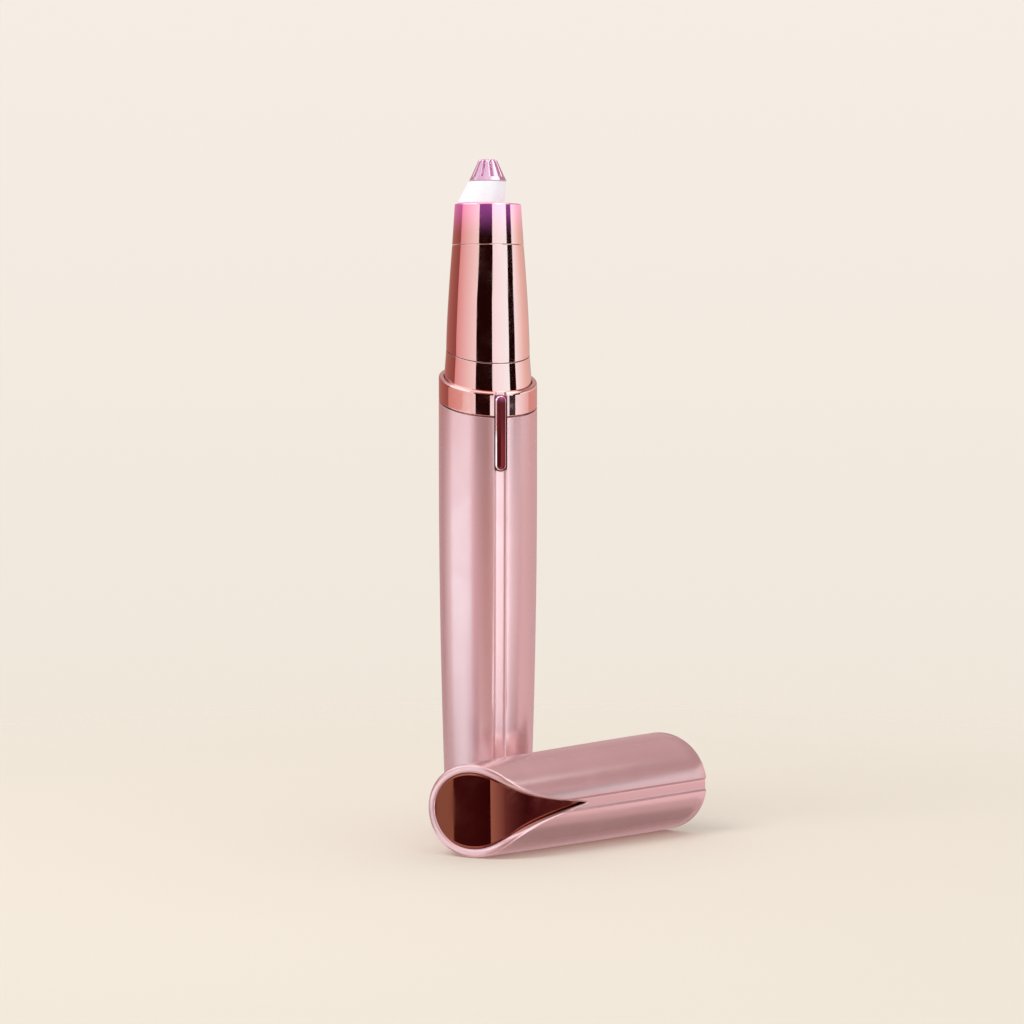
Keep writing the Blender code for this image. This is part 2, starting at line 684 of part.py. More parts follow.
def build_head_ring():
    step = RING_BASE + SPIGOT_HEIGHT + GAP
    plate = RING_TOP - RING_PLATE
    ring = turned("head_ring", [(0, RING_TOP), (RING_TOP_RADIUS, RING_TOP, EDGE_ROUND),
                                (CONE_TOP_RADIUS, RING_BASE, EDGE_ROUND), (RING_BORE, RING_BASE),
                                (RING_BORE, step), (RING_TOP_BORE, step), (RING_TOP_BORE, plate), (0, plate)],
                  ring=False)
    hole = rod("lens_hole_cut", LENS_HOLE_RADIUS, plate - OVERRUN, RING_TOP + OVERRUN,
               (-LENS_SPIGOT_SHIFT, 0), INNER_STEPS)
    boolean(ring, as_cutter(hole))
    return finish(ring, "rose_gold")


def build_lens():
    """An oblique cone that leans out over the lamp, on a spigot in the ring's hole."""
    middle = (LENS_BASE + LENS_TOP) / 2
    middle_shift = (LENS_BASE_SHIFT + LENS_TOP_SHIFT) / 2
    middle_radius = (LENS_BASE_RADIUS + LENS_TOP_RADIUS) / 2
    lens = lofted("led_lens", [(-LENS_SPIGOT_SHIFT, LENS_SPIGOT_RADIUS, LENS_FOOT),
                               (-LENS_SPIGOT_SHIFT, LENS_SPIGOT_RADIUS, LENS_BASE),
                               (-LENS_BASE_SHIFT, LENS_BASE_RADIUS, LENS_BASE),
                               (-middle_shift, middle_radius, middle),
                               (-LENS_TOP_SHIFT, LENS_TOP_RADIUS, LENS_TOP)])
    bore = rod("lens_bore_cut", LENS_BORE, LENS_FOOT - OVERRUN, LENS_TOP + OVERRUN)
    boolean(lens, as_cutter(bore))
    return finish(lens, "white_lens")


def build_guard():
    """A thin domed cone, slotted all round so that hairs reach the cutter."""
    under = GUARD_TOP - GUARD_WALL
    shoulder = (GUARD_BASE_RADIUS * 2 + GUARD_TIP_RADIUS) / 3
    guard = turned("guard_comb", [(0, GUARD_TOP), (GUARD_TIP_RADIUS, GUARD_TOP, EDGE_ROUND),
                                  (shoulder, GUARD_BASE + GUARD_HEIGHT / 3), (GUARD_BASE_RADIUS, GUARD_BASE),
                                  (GUARD_BASE_RADIUS - GUARD_WALL, GUARD_BASE),
                                  (GUARD_TIP_RADIUS - GUARD_WALL, under), (0, under)],
                   steps=INNER_STEPS, ring=False)
    slot = ((GUARD_HUB_RADIUS, -GUARD_SLOT_WIDTH / 2, GUARD_BASE + GUARD_BASE_BAND),
            (GUARD_BASE_RADIUS + OVERRUN, GUARD_SLOT_WIDTH / 2, GUARD_TOP + OVERRUN))
    step = 2 * math.pi / GUARD_SLOTS
    slots = boxes("guard_slot_cut", [slot], [step * (index + GUARD_TURN_SHARE) for index in range(GUARD_SLOTS)])
    boolean(guard, as_cutter(slots))
    return finish(guard, "pink_lens")


def blade_radius(height):
    """Radius of the blades where they run just inside the guard."""
    share = (height - GUARD_BASE) / (GUARD_HEIGHT - GUARD_WALL)
    inside = GUARD_BASE_RADIUS - (GUARD_BASE_RADIUS - GUARD_TIP_RADIUS) * share - GUARD_WALL
    return inside - GAP


def build_cutter():
    """A star of blades that tapers with the guard, on a stem with a hexagonal socket."""
    base = blade_radius(CUTTER_BASE)
    step = 2 * math.pi / BLADES
    outline = []
    for index in range(BLADES):
        middle = index * step
        half = step * BLADE_WIDTH_SHARE / 2
        for angle, reach in ((middle - half, base), (middle + half, base),
                             (middle + step / 2 - half / 2, base * BLADE_ROOT_SHARE),
                             (middle + step / 2 + half / 2, base * BLADE_ROOT_SHARE)):
            outline.append((reach * math.cos(angle), reach * math.sin(angle), CUTTER_BASE))
    mesh = bpy.data.meshes.new("rotary_cutter")
    model = bmesh.new()
    floor = model.faces.new([model.verts.new(corner) for corner in outline])
    lifted = bmesh.ops.extrude_face_region(model, geom=[floor])["geom"]
    top = [item for item in lifted if isinstance(item, bmesh.types.BMVert)]
    bmesh.ops.translate(model, verts=top, vec=(0, 0, CUTTER_HEIGHT))
    shrink = blade_radius(CUTTER_TOP) / base
    bmesh.ops.scale(model, verts=top, vec=(shrink, shrink, 1))
    bmesh.ops.recalc_face_normals(model, faces=model.faces)
    model.to_mesh(mesh)
    model.free()
    cutter = new_object("rotary_cutter", mesh)
    stem_top = CUTTER_BASE + CUTTER_HUB_RADIUS / 2
    boolean(cutter, as_cutter(rod("cutter_stem", CUTTER_HUB_RADIUS, CUTTER_FOOT, stem_top)), "UNION")
    socket_radius = POST_RADIUS + GAP
    socket = rod("cutter_socket_cut", socket_radius, CUTTER_FOOT - OVERRUN,
                 CUTTER_BASE + GAP, sides=POST_SIDES)
    boolean(cutter, as_cutter(socket))
    return finish(cutter, "steel")


def build_drive():
    """Motor shaft, spindle and the spring that lifts the cutter."""
    shaft = turned("motor_shaft", [(0, SHAFT_TOP), (SHAFT_RADIUS, SHAFT_TOP), (SHAFT_RADIUS, SHAFT_BASE),
                                   (0, SHAFT_BASE)], SMALL_STEPS, ring=False)
    finish(shaft, "steel")
    bore = SHAFT_RADIUS + GAP
    spindle = turned("drive_spindle", [(0, SPINDLE_TOP), (SPINDLE_RADIUS, SPINDLE_TOP, EDGE_ROUND),
                                       (SPINDLE_RADIUS, SPINDLE_BASE), (bore, SPINDLE_BASE),
                                       (bore, SHAFT_TOP + GAP), (0, SHAFT_TOP + GAP)], SMALL_STEPS, ring=False)
    post = rod("spindle_post", POST_RADIUS, SPINDLE_TOP - OVERRUN, CUTTER_BASE, sides=POST_SIDES)
    boolean(spindle, as_cutter(post), "UNION")
    finish(spindle, "white_plastic")
    spring = coil("cutter_spring", SPINDLE_TOP + GAP, CUTTER_SPRING_HEIGHT, CUTTER_SPRING_RADIUS,
                  CUTTER_SPRING_RADIUS, CUTTER_SPRING_WIRE, CUTTER_SPRING_TURNS)
    finish(spring, "steel")


def flat_sides(name, low, high):
    """Two boxes that cut the motor's flats."""
    reach = MOTOR_RADIUS + OVERRUN
    side = ((MOTOR_FLAT, -reach, low - OVERRUN), (reach, reach, high + OVERRUN))
    return as_cutter(boxes(name, [side], (0, math.pi)))


def build_motor():
    boss_top = MOTOR_TOP + MOTOR_BOSS_HEIGHT
    bearing = SHAFT_RADIUS + GAP
    bearing_floor = boss_top - MOTOR_BEARING_DEPTH
    can = turned("motor_can", [(0, bearing_floor), (bearing, bearing_floor), (bearing, boss_top),
                               (MOTOR_BOSS_RADIUS, boss_top), (MOTOR_BOSS_RADIUS, MOTOR_TOP),
                               (MOTOR_RADIUS, MOTOR_TOP, EDGE_ROUND), (MOTOR_RADIUS, MOTOR_BASE),
                               (0, MOTOR_BASE)], INNER_STEPS, ring=False)
    boolean(can, flat_sides("motor_flat_cut", MOTOR_BASE, MOTOR_TOP))
    finish(can, "steel")
    end_cap = rod("motor_end_cap", MOTOR_RADIUS, END_CAP_BASE, END_CAP_TOP, sides=INNER_STEPS)
    boolean(end_cap, flat_sides("end_cap_flat_cut", END_CAP_BASE, END_CAP_TOP))
    finish(end_cap, "white_plastic")


def build_holder():
    """Core tube round the motor, closed by a web, with a boss that carries the lamp's board."""
    web_base = WEB_TOP - HOLDER_WEB
    boss_top = LAMP_BOARD_BASE - GAP
    holder = turned("motor_holder", [(BOSS_BORE, boss_top), (BOSS_RADIUS, boss_top), (BOSS_RADIUS, WEB_TOP),
                                     (HOLDER_RADIUS, WEB_TOP), (HOLDER_RADIUS, NECK_FOOT),
                                     (HOLDER_BORE, NECK_FOOT), (HOLDER_BORE, web_base), (BOSS_BORE, web_base)],
                    INNER_STEPS)
    channel_half = 4 * WIRE_RADIUS + GAP
    channel = box("wire_channel_cut", (-HOLDER_BORE, -channel_half, web_base - OVERRUN),
                  (-MOTOR_FLAT, channel_half, WEB_TOP + OVERRUN))
    boolean(holder, as_cutter(channel))
    return finish(holder, "white_plastic")


def build_lamp():
    board = turned("led_board", [(BOSS_BORE, LAMP_BOARD_TOP), (LAMP_BOARD_RADIUS, LAMP_BOARD_TOP),
                                 (LAMP_BOARD_RADIUS, LAMP_BOARD_BASE), (BOSS_BORE, LAMP_BOARD_BASE)],
                   INNER_STEPS)
    finish(board, "board_green")
    lamp = box("led_lamp", (-LAMP_SHIFT - LAMP_WIDTH / 2, -LAMP_LENGTH / 2, LAMP_BASE),
               (-LAMP_SHIFT + LAMP_WIDTH / 2, LAMP_LENGTH / 2, LAMP_TOP))
    finish(lamp, "lamp")


def build_slider(groove):
    """A slim pill with a round underside that fits the flute, and a forked stem."""
    half_width = SLIDER_WIDTH / 2
    outer = BODY_RADIUS + SLIDER_PROUD
    inner = BODY_RADIUS - FLUTE_DEPTH
    outline = bpy.data.curves.new("switch_slider", "CURVE")
    outline.dimensions = "2D"
    outline.fill_mode = "BOTH"
    outline.extrude = (outer - inner) / 2
    shape = outline.splines.new("POLY")
    straight = SLIDER_LENGTH / 2 - half_width
    corners = []
    for step in range(SMALL_STEPS + 2):
        end = 0 if step <= SMALL_STEPS // 2 else 1
        angle = math.pi * (step - end) / (SMALL_STEPS // 2)
        rise = straight if end == 0 else -straight
        corners.append((half_width * math.cos(angle), half_width * math.sin(angle) + rise, 0, 1))
    shape.points.add(len(corners) - 1)
    for point, corner in zip(shape.points, corners):
        point.co = corner
    shape.use_cyclic_u = True
    pill = new_object("switch_slider", outline)
    pill.rotation_euler = (math.pi / 2, 0, 0)
    pill.location = (0, -(outer + inner) / 2, SLIDER_TOP - SLIDER_LENGTH / 2)
    bpy.context.view_layer.update()
    slider = baked(pill)
    bevel = slider.modifiers.new("edge", "BEVEL")
    bevel.width = SLIDER_BEVEL
    bevel.segments = ARC_STEPS
    bevel.limit_method = "ANGLE"
    bevel.angle_limit = BEVEL_ANGLE
    boolean(slider, groove, "INTERSECT")
    low = STEM_HEIGHT_MID - STEM_HEIGHT / 2
    high = STEM_HEIGHT_MID + STEM_HEIGHT / 2
    stem = box("slider_stem", (-STEM_WIDTH / 2, -BODY_RADIUS, low), (STEM_WIDTH / 2, -STEM_REACH, high))
    boolean(slider, as_cutter(stem), "UNION")
    lever_half = LEVER_SIZE / 2 + GAP
    fork = box("slider_fork_cut", (-STEM_WIDTH, -STEM_REACH - FORK_DEPTH, STEM_HEIGHT_MID - lever_half),
               (STEM_WIDTH, -STEM_REACH + OVERRUN, STEM_HEIGHT_MID + lever_half))
    boolean(slider, as_cutter(fork))
    return finish(slider, "maroon_mirror")


def build_switch():
    half = SWITCH_LENGTH / 2
    body = box("switch_body", (-SWITCH_WIDTH / 2, -SWITCH_FRONT, SWITCH_MID - half),
               (SWITCH_WIDTH / 2, -SWITCH_BACK, SWITCH_MID + half))
    recess_half = (LEVER_SIZE + SLIDER_TRAVEL) / 2 + GAP
    recess = box("switch_recess_cut",
                 (-LEVER_SIZE / 2 - GAP, -SWITCH_FRONT - OVERRUN, SWITCH_MID - recess_half),
                 (LEVER_SIZE / 2 + GAP, -SWITCH_FRONT + SWITCH_RECESS, SWITCH_MID + recess_half))
    boolean(body, as_cutter(recess))
    finish(body, "black_plastic")
    lever_half = LEVER_SIZE / 2
    lever = box("switch_actuator", (-lever_half, -LEVER_REACH, STEM_HEIGHT_MID - lever_half),
                (lever_half, -LEVER_ROOT, STEM_HEIGHT_MID + lever_half))
    finish(lever, "white_plastic")


def across(name, radius, centre, front, back, sides=SMALL_STEPS):
    """A cylinder that lies along Y, from its front end to its back end."""
    mesh = bpy.data.meshes.new(name)
    model = bmesh.new()
    place = Matrix.Translation((centre[0], (front + back) / 2, centre[1]))
    bmesh.ops.create_cone(model, cap_ends=True, segments=sides, radius1=radius, radius2=radius,
                          depth=back - front, matrix=place @ Matrix.Rotation(math.pi / 2, 4, "X"))
    model.to_mesh(mesh)
    model.free()
    shade(mesh)
    return new_object(name, mesh)


def build_chassis():
    """Battery tube with a partition and, above it, an open cradle for the board."""
    flange_top = PARTITION_BASE
    flange = sleeve_radius(flange_top - FLANGE_HEIGHT) - SLEEVE_WALL - GAP
    cradle_flange = CHASSIS_BORE + CRADLE_FLANGE_WALL
    flange_low = CHASSIS_TOP - FLANGE_HEIGHT / 2
    chassis = turned("chassis_tube", [
        (CHASSIS_BORE, CHASSIS_TOP), (cradle_flange, CHASSIS_TOP), (cradle_flange, flange_low),
        (CHASSIS_RADIUS, flange_low), (CHASSIS_RADIUS, flange_top), (flange, flange_top),
        (flange, flange_top - FLANGE_HEIGHT), (CHASSIS_RADIUS, flange_top - FLANGE_HEIGHT),
        (CHASSIS_RADIUS, CHASSIS_BASE), (CHASSIS_BORE, CHASSIS_BASE), (CHASSIS_BORE, PARTITION_BASE),
        (PARTITION_HOLE, PARTITION_BASE), (PARTITION_HOLE, PARTITION_TOP), (CHASSIS_BORE, PARTITION_TOP)],
        INNER_STEPS)
    reach = BODY_RADIUS + OVERRUN
    front = box("cradle_cut", (-reach, -reach, PARTITION_TOP + GAP), (reach, -CRADLE_CUT, CHASSIS_TOP + OVERRUN))
    boolean(chassis, as_cutter(front))
    strip_half = STRIP_WIDTH / 2 + GAP
    slot = box("strip_slot_cut", (CELL_RADIUS, -BOARD_BACK - strip_half, CHASSIS_BASE - OVERRUN),
               (CHASSIS_RADIUS + GAP, -BOARD_BACK + strip_half, PARTITION_TOP + OVERRUN))
    boolean(chassis, as_cutter(slot))
    wall = math.sqrt(CHASSIS_BORE ** 2 - SCREW_SPREAD ** 2)
    pillar_radius = SCREW_RADIUS + GAP + PILLAR_WALL
    for side in (-1, 1):
        centre = (side * SCREW_SPREAD, SCREW_HEIGHT)
        pillar = across("pillar", pillar_radius, centre, -CRADLE_CUT, wall + CHASSIS_WALL / 2)
        boolean(chassis, as_cutter(pillar), "UNION")
    for side in (-1, 1):
        centre = (side * SCREW_SPREAD, SCREW_HEIGHT)
        pilot = across("pilot_cut", SCREW_RADIUS + GAP, centre, -CRADLE_CUT - OVERRUN, SCREW_LENGTH + GAP)
        boolean(chassis, as_cutter(pilot))
    return finish(chassis, "white_plastic")


def build_board():
    half = CHASSIS_BORE
    board = box("circuit_board", (-half, -BOARD_FRONT, BOARD_BASE), (half, -BOARD_BACK, BOARD_TOP))
    for index, side in enumerate((-1, 1)):
        centre = (side * SCREW_SPREAD, SCREW_HEIGHT)
        hole = across("board_hole_cut", SCREW_RADIUS + GAP, centre, -BOARD_FRONT - OVERRUN, OVERRUN)
        boolean(board, as_cutter(hole))
        head_back = -BOARD_FRONT - GAP
        screw = across(f"board_screw_{index + 1}", SCREW_RADIUS, centre, head_back - SCREW_HEAD_HEIGHT / 2,
                       SCREW_LENGTH, sides=SMALL_STEPS // 2)
        head = across("screw_head", SCREW_HEAD_RADIUS, centre, head_back - SCREW_HEAD_HEIGHT, head_back)
        boolean(screw, as_cutter(head), "UNION")
        finish(screw, "steel")
    return finish(board, "board_green")


def build_battery():
    """One cell between its contacts, and the strip that brings its tail end up to the board."""
    can_top = CELL_TOP - CELL_NUB_HEIGHT
    cell = turned("battery_cell", [(0, CELL_TOP), (CELL_NUB_RADIUS, CELL_TOP, EDGE_ROUND),
                                   (CELL_NUB_RADIUS, can_top), (CELL_RADIUS, can_top, CELL_ROUND),
                                   (CELL_RADIUS, CELL_BASE, CELL_ROUND), (0, CELL_BASE)],
                  INNER_STEPS, ring=False)
    finish(cell, "cell_wrap")
    positive = rod("positive_contact", CONTACT_RADIUS, POSITIVE_BASE, POSITIVE_BASE + PLATE_THICKNESS)
    finish(positive, "nickel")
    low_reach = CELL_RADIUS + GAP + GAP / 2
    strip = box("return_strip",
                (low_reach, -BOARD_BACK - STRIP_WIDTH / 2, NEGATIVE_BASE),
                (low_reach + STRIP_THICKNESS, -BOARD_BACK + STRIP_WIDTH / 2, PARTITION_TOP))
    finish(strip, "nickel")


def build_tail():
    """Bayonet plug flush with the foot, the contact plate and the conical battery spring."""
    edge = LIP_RADIUS - GAP
    plug = turned("tail_plug", [(0, PLUG_HEIGHT), (edge, PLUG_HEIGHT, EDGE_ROUND), (edge, 0, EDGE_ROUND),
                                (0, 0)], INNER_STEPS, ring=False)
    lug_low = LIP_HEIGHT + GAP
    corner = math.sqrt((LIP_RADIUS + LUG_REACH) ** 2 - (LUG_WIDTH / 2) ** 2)
    lug = ((LIP_RADIUS / 2, -LUG_WIDTH / 2, lug_low), (corner, LUG_WIDTH / 2, lug_low + LUG_HEIGHT))
    boolean(plug, as_cutter(boxes("plug_lug", [lug], (0, math.pi))), "UNION")
    slot = ((COIN_INNER, -COIN_WIDTH / 2, -OVERRUN), (edge - COIN_RIM, COIN_WIDTH / 2, COIN_DEPTH))
    boolean(plug, as_cutter(boxes("coin_slot_cut", [slot], (0, math.pi))))
    finish(plug, "pink")
    plate = rod("negative_contact", CELL_RADIUS, NEGATIVE_BASE, NEGATIVE_BASE + PLATE_THICKNESS,
                sides=INNER_STEPS)
    finish(plate, "nickel")
    spring = coil("battery_spring", TAIL_SPRING_BASE, TAIL_SPRING_HEIGHT, TAIL_SPRING_RADIUS,
                  TAIL_SPRING_TIP_RADIUS, TAIL_SPRING_WIRE, TAIL_SPRING_TURNS)
    finish(spring, "steel")


def build_wires():
    """The lamp's two wires pass the motor's flat side; the motor's leads are short loops."""
    channel = -(MOTOR_FLAT + HOLDER_BORE) / 2
    solder = -(BOARD_BACK + BOARD_FRONT) / 2
    start = BOARD_TOP + GAP + WIRE_RADIUS
    climb = END_CAP_BASE - start
    board_under = LAMP_BOARD_BASE - GAP
    for name, side, colour in (("led_wire_red", 1, "red_wire"), ("led_wire_black", -1, "black_wire")):
        apart = side * (WIRE_RADIUS + GAP)
        inward = (1 + side) * WIRE_RADIUS
        stops = [(channel + inward * 2, solder, start),
                 (channel + inward, solder * WIRE_SLACK_SHARE + apart, start + climb * WIRE_BEND_SHARE),
                 (channel, apart, END_CAP_BASE),
                 (channel, apart, (END_CAP_BASE + WEB_TOP) / 2),
                 (channel, apart, WEB_TOP),
                 (-LAMP_SHIFT - LAMP_WIDTH / 2, apart, board_under)]
        wire = baked(tube(name, smooth_route(stops), WIRE_RADIUS, resolution=1))
        finish(wire, colour)
    bend, turn = (start + climb * share for share in LEAD_BEND_SHARES)
    for name, side, colour in (("motor_lead_red", 1, "red_wire"), ("motor_lead_black", 0, "black_wire")):
        aside = side * MOTOR_FLAT * LEAD_SPREAD_SHARE
        stops = [(aside, solder, start),
                 (aside + WIRE_RADIUS, solder * 2, bend),
                 (aside, solder, turn),
                 (aside, solder / 2, END_CAP_BASE - GAP)]
        lead = baked(tube(name, smooth_route(stops), WIRE_RADIUS, resolution=1))
        finish(lead, colour)


def cap_angles():
    """Angles round the cap from the V notch: even across the flute, then wider to the back."""
    edge = math.asin(FLUTE_HALF / BODY_RADIUS)
    across_flute = np.linspace(0, edge, CAP_FLUTE_COLUMNS)
    beyond = edge + (math.pi - edge) * np.linspace(0, 1, CAP_COLUMNS + 1)[1:] ** CAP_COLUMN_POWER
    half = np.concatenate([across_flute, beyond])
    return np.concatenate([-half[-2:0:-1], half])


def build_cap_shell(stand):
    """The tube between its slanted mouth and the swirl, both with rounded edges."""
    angles = cap_angles()
    rim = swirl_height(angles)
    rise = swirl_height(angles + SLOPE_STEP) - swirl_height(angles - SLOPE_STEP)
    slope = rise / (2 * SLOPE_STEP)
    length = np.hypot(BODY_RADIUS, slope)
    inward_turn = slope / length
    inward_fall = -BODY_RADIUS / length

    def point(angle, height, depth):
        """A point in the wall: depth 0 is the outer surface and 1 the bore."""
        outer = fluted(cap_radius(height), angle)
        radius = outer * (1 - depth) + cap_bore(height) * depth
        return np.stack([radius * np.sin(angle), -radius * np.cos(angle), height], axis=-1)

    def rim_point(back, depth):
        return angles + inward_turn * back / BODY_RADIUS, rim + inward_fall * back, depth

    mouth = -SLANT_FALL * np.cos(angles)
    rim_angle, rim_height, _ = rim_point(RIM_ROUND, 0)
    rings = []
    for share in np.linspace(0, 1, CAP_OUTER_ROWS):
        angle = angles * (1 - share) + rim_angle * share
        rings.append(point(angle, (mouth + MOUTH_ROUND) * (1 - share) + rim_height * share, 0))
    for turn in np.linspace(0, math.pi, CAP_RIM_ROWS)[1:-1]:
        angle, height, depth = rim_point(RIM_ROUND * (1 - math.sin(turn)), (1 - math.cos(turn)) / 2)
        rings.append(point(angle, height, depth))
    for share in np.linspace(1, 0, CAP_BORE_ROWS):
        angle = angles * (1 - share) + rim_angle * share
        rings.append(point(angle, (mouth + MOUTH_ROUND) * (1 - share) + rim_height * share, 1))
    for depth in CAP_MOUTH_SHARES:
        rings.append(point(angles, mouth, depth))
    shell = looped_surface("cap_shell", np.array(rings))
    return finish(shell, "pink", stand)


def insert_profile():
    """Side view of the mirror insert, from below the V tip to the back, inside the swirl."""
    angles = np.linspace(0, math.pi, PROFILE_POINTS)
    height = swirl_height(angles)
    ahead = cap_bore(height) * np.cos(angles)
    ahead = np.concatenate([[ahead[0]], ahead])
    height = np.concatenate([[height[0] - INSERT_TAIL], height])
    along, up = np.gradient(ahead), np.gradient(height)
    size = np.hypot(along, up)
    ahead, height = ahead - INSERT_RECESS * up / size, height + INSERT_RECESS * along / size
    half_width = np.sqrt(np.maximum((cap_bore(height) - GAP) ** 2 - ahead ** 2, 0))
    keep = half_width > INSERT_END_WIDTH / 2
    return ahead[keep], height[keep], half_width[keep]


def build_cap_insert(stand):
    """A bent mirror whose straight cross lines run from wall to wall."""
    ahead, height, half_width = insert_profile()
    travelled = np.concatenate([[0], np.cumsum(np.hypot(np.diff(ahead), np.diff(height)))])
    stations = np.linspace(0, travelled[-1], INSERT_ROWS)
    grid = np.zeros((INSERT_ROWS, INSERT_COLUMNS, 3))
    share = np.linspace(-1, 1, INSERT_COLUMNS)
    grid[..., 0] = np.interp(stations, travelled, half_width)[:, None] * share
    grid[..., 1] = -np.interp(stations, travelled, ahead)[:, None]
    grid[..., 2] = np.interp(stations, travelled, height)[:, None]
    row, column = np.meshgrid(np.arange(INSERT_ROWS - 1), np.arange(INSERT_COLUMNS - 1), indexing="ij")
    corner = row * INSERT_COLUMNS + column
    faces = np.stack([corner, corner + INSERT_COLUMNS, corner + INSERT_COLUMNS + 1, corner + 1], axis=-1)
    mesh = bpy.data.meshes.new("cap_insert")
    mesh.from_pydata(grid.reshape(-1, 3).tolist(), [], faces.reshape(-1, 4).tolist())
    shade(mesh)
    insert = new_object("cap_insert", mesh)
    thickness = insert.modifiers.new("thickness", "SOLIDIFY")
    thickness.thickness = INSERT_THICKNESS
    thickness.offset = 1
    thickness.use_even_offset = True
    return finish(insert, "copper_mirror", stand)


def build_trimmer():
    flute = flute_bar("flute_cut", FLUTE_BAR, COLLAR_TOP + OVERRUN)
    groove = flute_bar("slider_groove", FLUTE_BAR - SLIDE_GAP, COLLAR_TOP + OVERRUN)
    build_sleeve(flute)
    build_collar(flute)
    build_neck()
    build_cone()
    build_head_ring()
    build_lens()
    build_guard()
    build_cutter()
    build_drive()
    build_motor()
    build_holder()
    build_lamp()
    build_slider(groove)
    build_switch()
    build_chassis()
    build_board()
    build_battery()
    build_tail()
    build_wires()


def build_cap():
    """The cap lies on the tangent of its tapered side, with its mouth at +X."""
    touch = CAP_LENGTH * CAP_BALANCE_SHARE
    slope = (BODY_RADIUS - CAP_TOP_RADIUS) * CAP_POWER / CAP_LENGTH * CAP_BALANCE_SHARE ** (CAP_POWER - 1)
    tilt = math.atan(slope)
    axis_height = touch * math.sin(tilt) + float(cap_radius(touch)) * math.cos(tilt)
    aside = -(2 * BODY_RADIUS + CAP_SPACING)
    stand = new_stand("cap_stand", (CAP_MOUTH_X, aside, axis_height), (0, -math.pi / 2 - tilt, 0))
    build_cap_shell(stand)
    build_cap_insert(stand)


build_trimmer()
build_cap()
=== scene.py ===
# %% [markdown]
# # A pen-shaped eyebrow trimmer, standing open beside its cap
# This notebook dresses a packed mechanical model: every piece that shows gets a finer surface, and
# a finish worked out from noise and formulas. The pieces stay where the mechanism put them, so the
# switch still slides and the head still pulls off.

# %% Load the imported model
import json
import math

import bmesh
import bpy
import numpy as np
from mathutils import Matrix, Vector


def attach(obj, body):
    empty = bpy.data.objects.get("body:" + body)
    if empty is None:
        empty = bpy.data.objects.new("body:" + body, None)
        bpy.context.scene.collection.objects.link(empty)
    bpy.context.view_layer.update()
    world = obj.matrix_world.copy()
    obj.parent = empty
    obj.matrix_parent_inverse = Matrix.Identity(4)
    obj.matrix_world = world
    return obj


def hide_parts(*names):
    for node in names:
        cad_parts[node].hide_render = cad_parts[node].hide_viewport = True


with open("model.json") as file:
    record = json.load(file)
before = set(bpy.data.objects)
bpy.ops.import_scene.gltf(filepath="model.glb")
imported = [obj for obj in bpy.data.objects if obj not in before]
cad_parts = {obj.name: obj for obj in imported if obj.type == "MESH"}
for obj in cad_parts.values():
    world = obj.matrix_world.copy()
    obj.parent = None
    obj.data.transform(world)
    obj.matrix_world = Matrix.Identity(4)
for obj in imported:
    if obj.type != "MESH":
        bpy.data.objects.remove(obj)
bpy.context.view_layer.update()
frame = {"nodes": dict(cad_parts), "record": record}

MM = 0.001


def in_mm(values, digits=1):
    """Lengths in metres, rounded for printing in millimetres."""
    return [round(float(value) / MM, digits) for value in values]


# %% [markdown]
# ## Sizes
# A turned product is a list of radii and heights. They are written once, in metres, and everything
# else follows from them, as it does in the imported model. The gap is what is left between two
# touching pieces. The skins that show reach a little into it, so that a seam is only a hairline.

# %% Sizes of the trimmer and the cap
GAP = 0.3 * MM
SEAM_CLOSE = 0.17 * MM
BODY_RADIUS = 9.0 * MM
FOOT_RADIUS = 7.67 * MM
SLEEVE_HEIGHT = 79.2 * MM
TAPER_HEIGHT = 65.0 * MM
SLEEVE_WALL = 1.3 * MM
SLANT_FALL = 2.5 * MM
FLUTE_WIDTH = 2.4 * MM
FLUTE_DEPTH = 0.4 * MM
COLLAR_HEIGHT = 4.3 * MM
NECK_RADIUS = 8.0 * MM
NECK_TOP_RADIUS = 7.63 * MM
NECK_HEIGHT = 4.8 * MM
NECK_BORE = 6.2 * MM
NECK_SPIGOT_RADIUS = 7.4 * MM
NECK_SPIGOT_LENGTH = 4.2 * MM
SEAM_FALL = 2.5 * MM
CONE_HEIGHT = 19.1 * MM
CONE_TOP_RADIUS = 6.53 * MM
RING_HEIGHT = 7.2 * MM
RING_TOP_RADIUS = 6.04 * MM
LENS_HEIGHT = 3.8 * MM
GUARD_HEIGHT = 3.7 * MM
CAP_LENGTH = 50.8 * MM
CAP_TOP_RADIUS = 8.15 * MM
SWIRL_DEPTH = 23.3 * MM
CAP_MOUTH_X = 27.2 * MM
TRIMMER_TURN = math.radians(-27)

COLLAR_BASE = SLEEVE_HEIGHT + GAP
COLLAR_TOP = COLLAR_BASE + COLLAR_HEIGHT
NECK_TOP = COLLAR_TOP + NECK_HEIGHT
CONE_BASE = NECK_TOP + GAP
CONE_TOP = CONE_BASE + CONE_HEIGHT
RING_BASE = CONE_TOP + GAP
RING_TOP = RING_BASE + RING_HEIGHT
LENS_BASE = RING_TOP + GAP
LENS_TOP = LENS_BASE + LENS_HEIGHT
GUARD_BASE = LENS_TOP + GAP
GUARD_TOP = GUARD_BASE + GUARD_HEIGHT
print("height of the open trimmer in mm:", round(GUARD_TOP / MM, 2))

# %% [markdown]
# ## Outlines
# The long sleeve narrows towards its foot by a power curve, which is gentler than a cone near the
# top. The flute is a shallow channel with a level floor and steep rounded walls, so across it the
# surface follows the channel instead of the body. A soft minimum of the two rounds the edge where
# they meet, as lacquer does.

